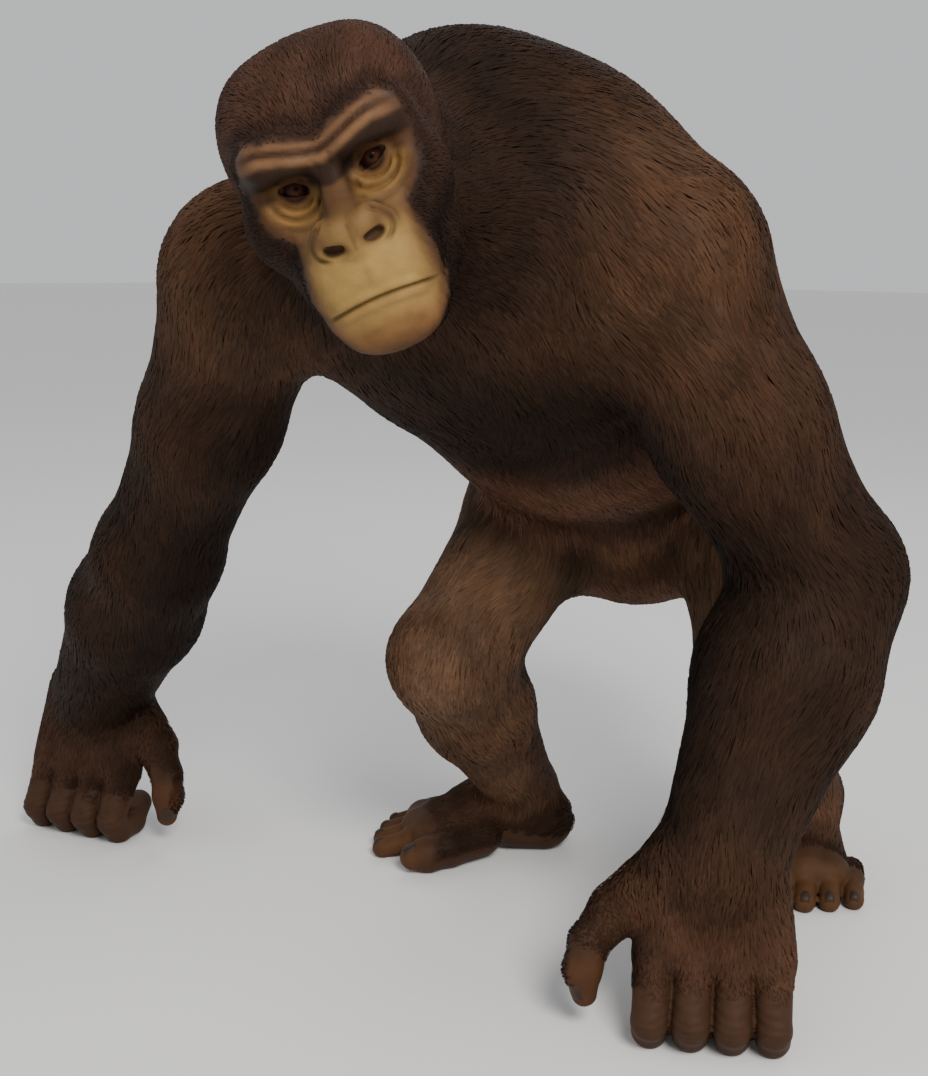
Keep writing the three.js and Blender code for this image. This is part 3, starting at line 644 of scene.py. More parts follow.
def folds(points, normals):
    """How deep each point of the face sinks into a line."""
    x, y, z = face_spot(points)
    amount = np.zeros(len(points))
    facing = np.clip(normals @ face_ahead * 1.6 - 0.2, 0, 1)
    ahead_of = np.clip((-70 - y) / 20, 0, 1) * np.clip((84 - x) / 26, 0, 1) * facing
    near = np.where((ahead_of > 0) & (x < 90) & (z > -150) & (z < 125))[0]
    x, z, ahead_of = x[near], z[near], ahead_of[near]
    for line, width, deep in face_lines:
        square, passed = away_from(line, x, z)
        fading = smooth(1.0, 0.82, passed) * (smooth(0.0, 0.12, passed) if line[0][0] > 0 else 1)
        amount[near] += deep * HEAD_SCALE * np.exp(-square / width ** 2) * ahead_of * fading
    return amount


# Folds across the back of each finger, deepest at its middle joint. Each has its
# height on the hand, its width and its depth.
FINGER_FOLDS = ((-91, 2.4, 1.3), (-99, 2.0, 0.6), (-107, 2.0, 0.6), (-116, 2.3, 1.1), (-123, 2.4, 1.7),
                (-130, 2.4, 1.9), (-137, 2.4, 1.3))


def finger_folds(points, normals):
    """How deep each point of the fingers sinks into a fold."""
    amount = np.zeros(len(points))
    for side in SIDES:
        spot = side.hand.inward(points)
        near = np.where((np.abs(spot[:, :2]) < 90).all(1) & (np.abs(spot[:, 2] + 115) < 40))[0]
        x, z = spot[near, 0] * side.sign / 1.03 + FIRST_KNUCKLE, spot[near, 2]
        x = x - KNUCKLE_STEP * np.clip(np.round(x / KNUCKLE_STEP), 0, 3)
        front = np.clip(-1.3 * normals[near] @ side.hand.axes[1] - 0.1, 0, 1)
        z = z - 0.016 * x * x * smooth(-150, -100, z) + 1.1 * waves(points[near], 26, 6)
        for height, width, deep in FINGER_FOLDS:
            amount[near] += deep * HAND_SCALE * np.exp(-((z - height) / width) ** 2) * front
    return amount


# Points are taken block by block, so that each block meets only the masses near it.
BLOCK = 70.0


def blocks_of(points):
    """Each block's points, with their numbers, their middle and how far they reach from it."""
    spot = np.floor(points / BLOCK).astype(int) + 100
    key = (spot[:, 0] * 1000 + spot[:, 1]) * 1000 + spot[:, 2]
    order = np.argsort(key, kind="stable")
    starts = np.flatnonzero(np.diff(key[order], prepend=-1))
    for group in np.split(order, starts[1:]):
        inside = points[group]
        middle = (inside.min(0) + inside.max(0)) / 2
        yield group, inside, middle, np.linalg.norm(inside.max(0) - middle)


def flesh(points):
    """How far each point lies outside the flesh, and less than nothing inside it."""
    depth = np.empty(len(points))
    for group, inside, middle, reach in blocks_of(points):
        trunk = joined(trunk_masses, inside, np.full(len(inside), 1e3), middle, reach)
        front = joined(front_masses, inside, trunk, middle, reach)
        rear = joined(leg_masses, inside, trunk, middle, reach)
        depth[group] = np.minimum(front, rear)
    return depth


# ---------------------------------------------------------------- skin
# One skin covers the whole animal, fine on the face, hands and feet and coarse
# where the coat hides it. It is laid as a net of cells on the flesh's surface,
# split where it has to be finer, and pulled onto the flesh after each split.
BODY_STEP = 13.0
HEAD_STEP = 5.2


def steps(low, high, fine_low, fine_high, fine):
    """The planes of cells along one axis, closer between two places."""
    before = np.arange(fine_low, low - BODY_STEP, -BODY_STEP)[::-1]
    within = np.linspace(fine_low, fine_high, int((fine_high - fine_low) / fine) + 1)[1:-1]
    after = np.arange(fine_high, high + BODY_STEP, BODY_STEP)
    return np.concatenate([before, within, after])


def net_of_cells(field, lines):
    """A point in each cell that the surface crosses, and the faces between them."""
    counts = [len(line) for line in lines]
    corners = np.stack(np.meshgrid(*lines, indexing="ij"), -1).reshape(-1, 3)
    value = field(corners).reshape(counts)
    inside = value < 0
    some = np.zeros([n - 1 for n in counts], bool)
    every = np.ones([n - 1 for n in counts], bool)
    offsets = [(i, j, k) for i in (0, 1) for j in (0, 1) for k in (0, 1)]
    for i, j, k in offsets:
        part = inside[i:counts[0] - 1 + i, j:counts[1] - 1 + j, k:counts[2] - 1 + k]
        some |= part
        every &= part
    cells = np.argwhere(some & ~every)
    number = np.full(some.shape, -1)
    number[tuple(cells.T)] = np.arange(len(cells))
    total = np.zeros((len(cells), 3))
    crossings = np.zeros(len(cells))
    for offset in offsets:
        for axis in range(3):
            if offset[axis]:
                continue
            start = cells + offset
            finish = start.copy()
            finish[:, axis] += 1
            a = value[tuple(start.T)]
            b = value[tuple(finish.T)]
            cut = (a < 0) != (b < 0)
            spot = np.stack([lines[q][start[:, q]] for q in range(3)], 1)
            length = lines[axis][finish[:, axis]] - lines[axis][start[:, axis]]
            spot[:, axis] += length * np.where(cut, a / np.where(cut, a - b, 1), 0)
            total += spot * cut[:, None]
            crossings += cut
    points = total / crossings[:, None]
    faces = []
    for axis in range(3):
        u, v = (axis + 1) % 3, (axis + 2) % 3
        first = [slice(1, n - 1) for n in counts]
        second = list(first)
        first[axis] = slice(0, counts[axis] - 1)
        second[axis] = slice(1, counts[axis])
        first, second = tuple(first), tuple(second)
        crossed = np.argwhere(inside[first] != inside[second]) + [int(q != axis) for q in range(3)]
        outward = inside[tuple(crossed.T)]
        ring = []
        for du, dv in ((1, 1), (0, 1), (0, 0), (1, 0)):
            at = crossed.copy()
            at[:, u] -= du
            at[:, v] -= dv
            ring.append(number[tuple(at.T)])
        a, b, c, d = ring
        b, d = np.where(outward, b, d), np.where(outward, d, b)
        across, other = points[a] - points[c], points[b] - points[d]
        short = (np.linalg.norm(across, axis=1) < np.linalg.norm(other, axis=1))[:, None]
        faces.append(np.where(short, np.stack([a, b, c], 1), np.stack([a, b, d], 1)))
        faces.append(np.where(short, np.stack([a, c, d], 1), np.stack([b, c, d], 1)))
    return points, np.concatenate(faces)


def rise_of(points, step=0.3):
    """How far each point lies outside the flesh, and how fast that grows along each axis."""
    around = np.concatenate([points] + [points + step * way for way in np.eye(3)])
    value = flesh(around).reshape(4, -1)
    return value[0], (value[1:] - value[0]).T / step


def settled(points, reach, rounds=2):
    """Points moved onto the flesh's surface, by no more than a reach each time."""
    for _ in range(rounds):
        value, rise = rise_of(points)
        move = rise * (value / np.maximum((rise ** 2).sum(1), 0.15))[:, None]
        far = np.linalg.norm(move, axis=1)
        points = points - move * np.minimum(1, reach / np.maximum(far, 1e-9))[:, None]
    return points


def refined(points, faces, wanted):
    """The net with each edge that is longer than wanted cut in two."""
    ends = np.sort(np.concatenate([faces[:, [0, 1]], faces[:, [1, 2]], faces[:, [2, 0]]]), axis=1)
    base = len(points)
    unique, where = np.unique(ends[:, 0] * base + ends[:, 1], return_inverse=True)
    a, b = unique // base, unique % base
    middle = (points[a] + points[b]) / 2
    cut = np.linalg.norm(points[a] - points[b], axis=1) > 1.5 * wanted(middle)
    fresh = np.full(len(unique), -1)
    fresh[cut] = len(points) + np.arange(cut.sum())
    points = np.concatenate([points, middle[cut]])
    mids = fresh[where].reshape(3, -1).T
    cuts = (mids >= 0).sum(1)
    # Below, p, q and r are a face's corners and m, n and o the new middles of its edges.
    whole = [faces[cuts == 0]]
    three = cuts == 3
    (p, q, r), (m, n, o) = faces[three].T, mids[three].T
    whole += [np.stack(f, 1) for f in ((p, m, o), (m, q, n), (o, n, r), (m, n, o))]
    for turn in range(3):
        order = np.roll(np.arange(3), -turn)
        spin, mid = faces[:, order], mids[:, order]
        one = (cuts == 1) & (mid[:, 0] >= 0)
        p, q, r = spin[one].T
        m = mid[one, 0]
        whole += [np.stack([p, m, r], 1), np.stack([m, q, r], 1)]
        two = (cuts == 2) & (mid[:, 2] < 0)
        p, q, r = spin[two].T
        m, n, _ = mid[two].T
        whole += [np.stack([m, q, n], 1), np.stack([p, m, n], 1), np.stack([p, n, r], 1)]
    return points, np.concatenate(whole)


def summed(places, values, count):
    return np.stack([np.bincount(places, values[:, axis], count) for axis in range(3)], 1)


def evened(points, faces, strength=0.5):
    """Points drawn along the surface toward the middle of their neighbours."""
    total = np.zeros_like(points)
    count = np.zeros(len(points))
    for a, b in ((0, 1), (1, 2), (2, 0)):
        for here, there in ((faces[:, a], faces[:, b]), (faces[:, b], faces[:, a])):
            total += summed(here, points[there], len(points))
            count += np.bincount(here, minlength=len(points))
    drift = total / count[:, None] - points
    normal = normals_of(points, faces)
    drift -= (drift * normal).sum(1)[:, None] * normal
    return points + drift * strength


def units(ways):
    """Each way of a list brought to a length of one."""
    return ways / np.maximum(np.linalg.norm(ways, axis=-1, keepdims=True), 1e-9)


def normals_of(points, faces):
    first, second, third = (points[faces[:, corner]] for corner in range(3))
    across = np.cross(second - first, third - first)
    return units(sum(summed(faces[:, corner], across, len(points)) for corner in range(3)))


def biggest_sheet(points, faces):
    """The largest connected part of a net."""
    label = np.arange(len(points))
    while True:
        least = label[faces].min(1)
        fresh = label.copy()
        for corner in range(3):
            np.minimum.at(fresh, faces[:, corner], least)
        fresh = fresh[fresh]
        if (fresh == label).all():
            break
        label = fresh
    names, counts = np.unique(label, return_counts=True)
    kept = label == names[counts.argmax()]
    fresh = np.cumsum(kept) - 1
    return points[kept], fresh[faces[kept[faces[:, 0]]]]


COARSEST = 17.0


def wanted_step(points):
    """The wanted length of the net's edges at each point."""
    x, y, z = face_spot(points)
    step = np.full(len(points), COARSEST)

    def finer(fine, far, growth):
        np.minimum(step, fine + np.maximum(far, 0) * growth, out=step)
    finer(8.5, np.linalg.norm(np.stack([x, y + 20, z - 10], 1), axis=1) - 160, 0.2)
    finer(2.8, np.maximum.reduce([x - 84, y + 62, -z - 146, z - 118]), 0.18)
    finer(1.65, np.maximum.reduce([x - 58, y + 84, -z - 106, z - 66]), 0.14)
    near = np.where((y < -90) & (x < 75) & (z > -110) & (z < 50))[0]
    for line in (mouth_line, nose_crease):
        off = np.sqrt(away_from(line, x[near], z[near])[0])
        step[near] = np.minimum(step[near], 1.05 + np.maximum(off - 3.5, 0) * 0.3)
    lids = np.linalg.norm(np.stack([x - 40, (z - 43) * 1.3, np.maximum(y + 96, 0)], 1), axis=1)
    finer(1.15, lids - 19, 0.1)
    shell = np.linalg.norm(np.stack([x - 102, y - 18, z - 35], 1) / (1, 1, 1.4), axis=1)
    finer(2.4, shell - 24, 0.15)
    for side in SIDES:
        across, back, height = side.hand.inward(points).T
        finer(4.6, np.maximum.reduce([
            np.abs(across + side.sign * 12) - 118, height + 66, np.abs(back) - 100]), 0.2)
        finer(2.6, np.maximum.reduce([np.abs(across) - 78, height + 88, back + 40]), 0.2)
        across, back, height = side.foot.inward(points).T
        finer(3.8, np.maximum.reduce([np.abs(across) - 100, back + 70, height - 66]), 0.15)
        finer(7, np.maximum.reduce([np.abs(across) - 100, np.abs(back) - 180, height - 66]), 0.15)
    return step


# The left eye's place here, less its place in the frame, is the shift between the two.
lowest, highest = (np.array(corner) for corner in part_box("eye_left"))
shift = (head.out(EYE_PLACE) - (lowest + highest) / 2 / MM) * (1, 1, 0)
low_corner = np.array(cad_box[0]) / MM + shift - 30
high_corner = np.array(cad_box[1]) / MM + shift + 30
head_middle = head.out((0, -10, 5))
grid_lines = [
    steps(low_corner[0], high_corner[0], head_middle[0] - 125, head_middle[0] + 125, HEAD_STEP),
    steps(low_corner[1], high_corner[1], head_middle[1] - 125, head_middle[1] + 120, HEAD_STEP),
    steps(low_corner[2], high_corner[2], head_middle[2] - 140, head_middle[2] + 110, HEAD_STEP)]
skin_points, skin_faces = net_of_cells(flesh, grid_lines)
skin_points, skin_faces = biggest_sheet(skin_points, skin_faces)
skin_points = settled(evened(skin_points, skin_faces), 6)
for reach in (5, 4, 3, 2):
    skin_points, skin_faces = refined(skin_points, skin_faces, wanted_step)
    skin_points = settled(evened(skin_points, skin_faces), reach)
skin_points = evened(skin_points, skin_faces, 0.3)
skin_points = settled(skin_points, 1.5)
skin_normals = normals_of(skin_points, skin_faces)
deep = folds(skin_points, skin_normals) + finger_folds(skin_points, skin_normals)
skin_points = skin_points - skin_normals * deep[:, None]
skin_points[:, 2] = np.maximum(skin_points[:, 2], 0)


# Where the hair grows, how long it is and which way it lies, from the masses near by.
def paint(red, green, blue):
    return ((np.array([red, green, blue], float) / 255 + 0.055) / 1.055) ** 2.4


# The belly's and groin's tones are lighter, partly as painted light on undersides that lie in shade.
TONES = {
    "back": paint(37, 24, 16), "chest": paint(58, 40, 28), "belly": paint(98, 69, 54),
    "loin": paint(46, 31, 22), "groin": paint(122, 89, 68), "haunch": paint(74, 54, 41),
    "shoulder": paint(80, 56, 39), "biceps": paint(60, 41, 29), "arm": paint(44, 30, 21),
    "leg": paint(99, 75, 57), "shin": paint(88, 64, 48), "foot": paint(60, 41, 29),
    "hand": paint(68, 46, 33), "crown": paint(68, 47, 37), "cheek": paint(42, 28, 20),
    "ear": paint(44, 31, 23)}
LOIN_ABOVE = ("belly", "groin")
LOIN_BEHIND = ("belly", "groin", "haunch", "leg", "shin")
MASS_REACH = 70
TONE_SPREAD = 14
PIECES = sorted({mass.piece for mass in all_masses})


def mixed(first, second, share):
    return first + (second - first) * share[:, None]


def lie_of_coat(points, normals):
    """The hair's way, tone, length, depth and piece at each point."""
    count = len(points)
    flow, tone = np.zeros((count, 3)), np.zeros((count, 3))
    hair, coat, piece = np.zeros(count), np.zeros(count), np.zeros(count, int)
    for group, inside, middle, reach in blocks_of(points):
        near = [m for m in all_masses if not m.hollow
                and np.linalg.norm(m.middle - middle) - reach - m.reach < MASS_REACH]
        value = np.stack([m.shape(inside) for m in near])
        share = np.exp(-(value - value.min(0)) / TONE_SPREAD)
        share /= share.sum(0)
        flow[group] = share.T @ np.array([m.flow for m in near])
        under = share.T @ np.array([TONES[m.tone] for m in near])
        over = share.T @ np.array([TONES["loin" if m.tone in LOIN_ABOVE else m.tone] for m in near])
        behind = share.T @ np.array([TONES["loin" if m.tone in LOIN_BEHIND else m.tone] for m in near])
        # Painted light, in part: the belly's and hips' lighter tones show on their undersides, which lie
        # in shade; where these masses face up, and where they or the legs face back, the darker loin
        # tone takes over.
        under = mixed(under, over, smooth(-0.75, -0.2, normals[group, 2]))
        tone[group] = mixed(under, behind, smooth(-0.1, 0.6, normals[group] @ pelvis.axes[1]) * 0.9)
        hair[group] = share.T @ np.array([m.hair for m in near])
        coat[group] = share.T @ np.array([m.coat for m in near])
        piece[group] = np.array([PIECES.index(m.piece) for m in near])[value.argmin(0)]
    return flow, tone, hair, coat, piece


FACE_EDGE_HEIGHT = (-140, -126, -108, -86, -58, -30, -14, -4, 10, 30, 60, 88, 100)
FACE_EDGE_HALF = (24, 44, 58, 67, 67, 63, 60, 60, 77, 84, 88, 86, 74)


def bare_face(points):
    """How far inside the bare face a point lies, in the head's own lengths."""
    x, y, z = face_spot(points)
    half = np.interp(z, FACE_EDGE_HEIGHT, FACE_EDGE_HALF)
    hairline = np.interp(x, (0, 9, 24, 44, 64, 90), (81, 85, 93, 98, 102, 102))
    jaw_end = np.interp(z, (-140, -112, -70), (-104, -92, -50))
    edge = np.minimum.reduce([half - x, hairline - z, z + 142, (jaw_end - y) * 0.8])
    return edge + 1.6 * waves(points, 16, 11) + 0.8 * waves(points, 6, 12)


def growth_of(points, normals):
    """How much hair grows at each point, from none at 0 to all at 1."""
    grown = smooth(4, -4, bare_face(points))
    for side in SIDES:
        spot = side.hand.inward(points)
        facing = normals @ side.hand.axes[1]
        near = (np.abs(spot[:, 0]) < 130) & (np.abs(spot[:, 1]) < 90) & (spot[:, 2] < 30)
        palm = smooth(0.1, 0.5, facing) * smooth(0, -30, spot[:, 2])
        thumb_end = smooth(-96, -106, spot[:, 0] * side.sign) * 34
        ragged = 7 * waves(points, 24, 13) + 3 * waves(points, 7, 14)
        fingers = smooth(-88, -108, spot[:, 2] - thumb_end + ragged)
        grown = np.where(near, grown * (1 - np.maximum(palm, fingers)), grown)
        spot = side.foot.inward(points)
        near = (np.abs(spot[:, 0]) < 110) & (np.abs(spot[:, 1]) < 190) & (spot[:, 2] < 70)
        sole = smooth(0.15, -0.35, normals[:, 2]) * smooth(60, 40, spot[:, 2])
        toes = smooth(-86, -108, spot[:, 1] + np.abs(spot[:, 0]) * 0.1) * smooth(64, 52, spot[:, 2])
        low = smooth(16, 8, spot[:, 2])
        grown = np.where(near, grown * (1 - np.maximum.reduce([sole, toes, low])), grown)
    return grown


# Colours of the bare skin: a tan muzzle and nose, a browner bridge and brow, ochre skin under
# the eyes, a painted shadow beneath the brow, and dark hands, feet and ears. Painted shade lies
# in the folds, the grooves of the rings under the eyes, the sides of the nose's bridge, the
# nostrils and along the face's edges below the eyes, with painted highlights on the brow's ridges and
# toe tips.
HAND_REACH = 260
FOOT_REACH = 230


def skin_colour(points, tone, grown, deep):
    """The skin's colour at each point: the face's, and elsewhere the coat's tone or bare skin."""
    x, y, z = face_spot(points)
    edge = bare_face(points)
    brow = np.interp(x, [p[0] for p in brow_line], [p[1] for p in brow_line])
    around_eye = np.hypot(x - 40, (z - 43) * 1.1)
    below_eye = smooth(44, 34, z) * smooth(42, 32, around_eye) * smooth(13, 22, x)
    # Painted shade: rings is highest in the grooves of the folds under the eyes.
    rings = 0.5 - 0.5 * np.cos((around_eye - 22.7) * (2 * math.pi / 9.4))
    bridge = smooth(30, 18, x) * smooth(-140, -160, y) * smooth(-34, -20, z)
    # Painted shadow: the band beneath the brow's overhang.
    brow_shadow = smooth(13, 8, np.abs(z - brow + 24)) * smooth(-168, -154, y) * smooth(98, 82, x)
    front = paint(108, 79, 50) + np.zeros_like(points)
    for colour, share in [
            ((74, 50, 32), smooth(50, 78, x)),
            ((158, 127, 73), smooth(-4, -30, z) * smooth(68, 34, x)),
            ((122, 84, 52), smooth(-80, -116, z) * 0.85),
            ((84, 57, 38), smooth(-108, -134, z) * 0.75),
            ((128, 99, 60), bridge),
            ((88, 62, 39), smooth(26, 14, x) * smooth(-4, 20, z)),
            # Painted shade down the sides of the nose's bridge.
            ((62, 42, 28), smooth(30, 20, x) * smooth(10, 16, x) * smooth(6, 28, z)),
            ((86, 60, 42), smooth(56, 64, z)),
            # Painted highlights on the brow's two ridges, and painted shade in the groove between them.
            ((128, 95, 66), smooth(7, 1, np.abs(z - brow + 8)) * smooth(88, 66, x) * 0.6),
            ((120, 88, 62), smooth(5, 1, np.abs(z - brow - 7)) * smooth(88, 66, x) * 0.45),
            ((62, 42, 30), smooth(4, 1, np.abs(z - brow)) * 0.45),
            ((134, 101, 58), below_eye * 0.85),
            # Painted shade in the grooves of the rings under the eyes.
            ((84, 56, 26), below_eye * rings * smooth(17, 20, around_eye) * 0.7),
            # Painted shadow of the brow, a dark band beneath it.
            ((44, 30, 22), brow_shadow * 0.95),
            ((84, 54, 34), smooth(19, 15, around_eye) * 0.8),
            ((30, 19, 15), smooth(15, 11.5, around_eye) * smooth(-121, -117, y)),
            ((112, 78, 52), smooth(8, 3, np.abs(z + 81 + x * x / 300)) * smooth(56, 40, x) * 0.35)]:
        front = mixed(front, paint(*colour), share)
    # Painted shade in the face's folds and painted light on its ridges.
    fold_shading = np.clip(1 - 0.19 * np.maximum(deep, 0) + 0.1 * np.maximum(-deep, 0), 0.25, 1.3)
    front *= 0.86 * fold_shading[:, None]
    # Painted shade in the nostrils' hollows.
    nostril = np.hypot((x - 20) / 12, (z + 18) / 6.5)
    front = mixed(front, paint(58, 38, 26), smooth(1.25, 0.7, nostril) * smooth(-180, -173, y) * 0.9)
    # Painted shade along the bare face's edges below the eyes.
    front = mixed(front, paint(66, 44, 30), smooth(15, 1, edge) * smooth(36, 6, z) * 0.7)
    bare = np.zeros(len(points))
    inner_hand = np.zeros(len(points))
    toe_highlight = np.zeros(len(points))
    for side in SIDES:
        fist, sole = side.hand.inward(points), side.foot.inward(points)
        at_hand = np.linalg.norm(fist, axis=1) < HAND_REACH
        at_foot = np.linalg.norm(sole, axis=1) < FOOT_REACH
        bare = np.maximum(bare, smooth(-50, -80, fist[:, 2]) * at_hand)
        bare = np.maximum(bare, smooth(60, 40, sole[:, 2]) * at_foot)
        inner_hand += smooth(-60, -100, fist[:, 0] * side.sign) * smooth(-70, -90, fist[:, 2]) * at_hand
        toe_highlight += smooth(-104, -150, sole[:, 1]) * at_foot
    body = mixed(tone * 0.9, paint(64, 44, 31), bare * (1 - grown))
    body = mixed(body, paint(98, 60, 34), inner_hand * 0.3)
    # Painted highlight: the toe tips lighter and warmer.
    body = mixed(body, paint(104, 70, 42), toe_highlight * 0.4)
    return mixed(body, front, smooth(-2, 5, edge))


skin_flow, skin_tone, skin_hair, skin_coat, skin_piece = lie_of_coat(skin_points, skin_normals)
skin_grown = growth_of(skin_points, skin_normals)

# Painted shade darkens the inner sides of arms and legs. The coat's rim around the face is darker too.
limb_side = np.array([int(name.endswith("_left")) - name.endswith("_right") for name in PIECES])
limb_side = limb_side[skin_piece]
inner_shade_amount = np.array([0.15 if "leg" in name or "thigh" in name else 0.5 for name in PIECES])
inner_shade_amount = inner_shade_amount[skin_piece]
inner_side_shade = smooth(0.1, -0.8, skin_normals @ chest.axes[0] * limb_side) * (limb_side != 0) * inner_shade_amount
face_rim = smooth(-16, -2, bare_face(skin_points))
skin_tone *= ((1 - inner_side_shade) * (1 - 0.4 * face_rim))[:, None]
skin_deep = folds(skin_points, skin_normals)
skin_tint = skin_colour(skin_points, skin_tone, skin_grown, skin_deep)


def mesh_of(name, points, faces):
    mesh = bpy.data.meshes.new(name)
    mesh.vertices.add(len(points))
    mesh.vertices.foreach_set("co", ((points - shift) * MM).astype(np.float32).ravel())
    mesh.loops.add(faces.size)
    mesh.loops.foreach_set("vertex_index", faces.astype(np.int32).ravel())
    mesh.polygons.add(len(faces))
    mesh.polygons.foreach_set("loop_start", np.arange(0, faces.size, 3, dtype=np.int32))
    mesh.update(calc_edges=True)
    mesh.shade_smooth()
    return mesh


def piece_of(name, mesh, material):
    item = bpy.data.objects.new(name, mesh)
    bpy.context.collection.objects.link(item)
    mesh.materials.append(material)
    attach(item, "root")
    return item


def tint_mesh(mesh, colours):
    layer = mesh.color_attributes.new("tint", "FLOAT_COLOR", "POINT")
    full = np.concatenate([colours, np.ones((len(colours), 1))], 1)
    layer.data.foreach_set("color", full.astype(np.float32).ravel())


def map_mesh(mesh, places):
    """Lay the mesh's corners on its bake map, at one place for each vertex."""
    layer = mesh.uv_layers.new(name="OFBake")
    corners = np.empty(len(mesh.loops), np.int32)
    mesh.loops.foreach_get("vertex_index", corners)
    layer.uv.foreach_set("vector", places[corners].astype(np.float32).ravel())


skin_finish = Finish("bare_skin")
skin_place = skin_finish.node("ShaderNodeTexCoord", {}, {}, "Object")
skin_tint_wire = skin_finish.node("ShaderNodeAttribute", {"attribute_name": "tint"}, {}, "Color")
mottle = skin_finish.node("ShaderNodeTexNoise", {}, {"Vector": skin_place, "Scale": 70.0, "Detail": 5.0})
pores = skin_finish.node("ShaderNodeTexVoronoi", {"feature": "DISTANCE_TO_EDGE"},
                         {"Vector": skin_place, "Scale": 420.0})
crinkle = skin_finish.node("ShaderNodeTexNoise", {},
                           {"Vector": skin_place, "Scale": 260.0, "Detail": 4.0})
skin_bump = skin_finish.node("ShaderNodeBump", {}, {
    "Strength": 0.28, "Distance": 0.001, "Height": crinkle * 0.8 + pores * 1.2 + mottle * 0.5}, "Normal")
patchy = skin_finish.node("ShaderNodeValToRGB", {"stops": [(0.3, 0.62), (0.7, 1.0)]}, {"Fac": mottle})
skin_finish.surface({
    "Base Color": skin_finish.blend("MULTIPLY", 0.55, skin_tint_wire, patchy),
    "Roughness": mottle * 0.25 + 0.44,
    "Specular IOR Level": 0.09,
    "Subsurface Weight": 0.06,
    "Subsurface Radius": (0.006, 0.003, 0.0015),
    "Subsurface Scale": 0.5,
    "Normal": skin_bump,
})
skin_mesh = mesh_of("skin", skin_points, skin_faces)
tint_mesh(skin_mesh, skin_tint)
skin = piece_of("skin", skin_mesh, skin_finish.material)
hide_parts(*[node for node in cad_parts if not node.startswith("eye_")])

# ---------------------------------------------------------------- eyes
# Two wet balls of glass: a dark brown white, a red-brown iris with fine spokes and
# a round pupil, under a clear bulge. They look out at whoever stands in front.
CORNEA_BULGE = 0.6
camera_spot = np.array(CAMERA_AT) / MM + shift
eye_finish = Finish("eyeball")
eye_finish.surface({
    "Base Color": eye_finish.node("ShaderNodeAttribute", {"attribute_name": "tint"}, {}, "Color"),
    "Roughness": 0.07,
    "Specular IOR Level": 0.07,
})
rings, spokes = 48, 96
down_angle = np.linspace(0, math.pi, rings + 1)[1:-1]
around = np.linspace(0, 2 * math.pi, spokes, endpoint=False)
angle, turn_round = (grid.ravel() for grid in np.meshgrid(down_angle, around, indexing="ij"))
angle = np.concatenate([angle, [0, math.pi]])
turn_round = np.concatenate([turn_round, [0, 0]])
ball_faces = []
for ring in range(rings - 2):
    for spoke in range(spokes):
        a, b = ring * spokes + spoke, ring * spokes + (spoke + 1) % spokes
        ball_faces += [(a, a + spokes, b), (b, a + spokes, b + spokes)]
last = (rings - 2) * spokes
top_pole, bottom_pole = len(angle) - 2, len(angle) - 1
for spoke in range(spokes):
    following = (spoke + 1) % spokes
    ball_faces += [(top_pole, spoke, following), (last + spoke, bottom_pole, last + following)]
for side in SIDES:
    middle = head.out(EYE_PLACE * (side.sign, 1, 1))
    gaze = unit(unit(camera_spot - middle) + face_ahead * 0.25 - UP * 0.03)
    across = unit(np.cross(gaze, UP))
    over = np.cross(across, gaze)
    radius = EYE_RADIUS + CORNEA_BULGE * smooth(0.62, 0.3, angle)
    ball = middle + radius[:, None] * (
        np.cos(angle)[:, None] * gaze
        + (np.sin(angle) * np.cos(turn_round))[:, None] * across
        + (np.sin(angle) * np.sin(turn_round))[:, None] * over)
    spoke_shade = 0.85 + 0.25 * np.sin(turn_round * 23 + 3 * np.sin(turn_round * 5))
    colour = paint(44, 28, 22) + np.zeros((len(angle), 3))
    colour = mixed(colour, paint(30, 14, 10), smooth(0.60, 0.54, angle))
    colour = mixed(colour, paint(68, 38, 25) * spoke_shade[:, None], smooth(0.56, 0.48, angle))
    colour = mixed(colour, paint(52, 28, 18), smooth(0.34, 0.24, angle))
    colour = mixed(colour, paint(8, 5, 4), smooth(0.20, 0.16, angle))
    eye_mesh = mesh_of(f"eye_{side.word}", ball, np.array(ball_faces))
    tint_mesh(eye_mesh, colour)
    eye = piece_of(f"eyeball_{side.word}", eye_mesh, eye_finish.material)
    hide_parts(f"eye_{side.word}")

# ---------------------------------------------------------------- nails
# Flat dark nails on every toe and thumb: thin curved plates of horn that grow out
# of the skin, each laid on the flesh below it.
NAIL_THICKNESS = 1.3
nail_finish = Finish("horn")
nail_place = nail_finish.node("ShaderNodeTexCoord", {}, {}, "Object")
nail_grain = nail_finish.node("ShaderNodeTexNoise", {},
                              {"Vector": nail_place, "Scale": 160.0, "Detail": 3.0})
nail_finish.surface({
    "Base Color": nail_finish.blend("MIX", nail_grain, (*paint(34, 25, 19), 1), (*paint(62, 46, 35), 1)),
    "Roughness": nail_grain * 0.2 + 0.4,
    "Specular IOR Level": 0.2,
    "Normal": nail_finish.node("ShaderNodeBump", {}, {
        "Strength": 0.3, "Distance": 0.0006, "Height": nail_grain}, "Normal"),
})


def dropped(points, way):
    """Points moved along a way until they meet the flesh."""
    points = points - way * 14
    for _ in range(30):
        points = points + way * np.clip(flesh(points), -3, 3)[:, None] * 0.9
    return points


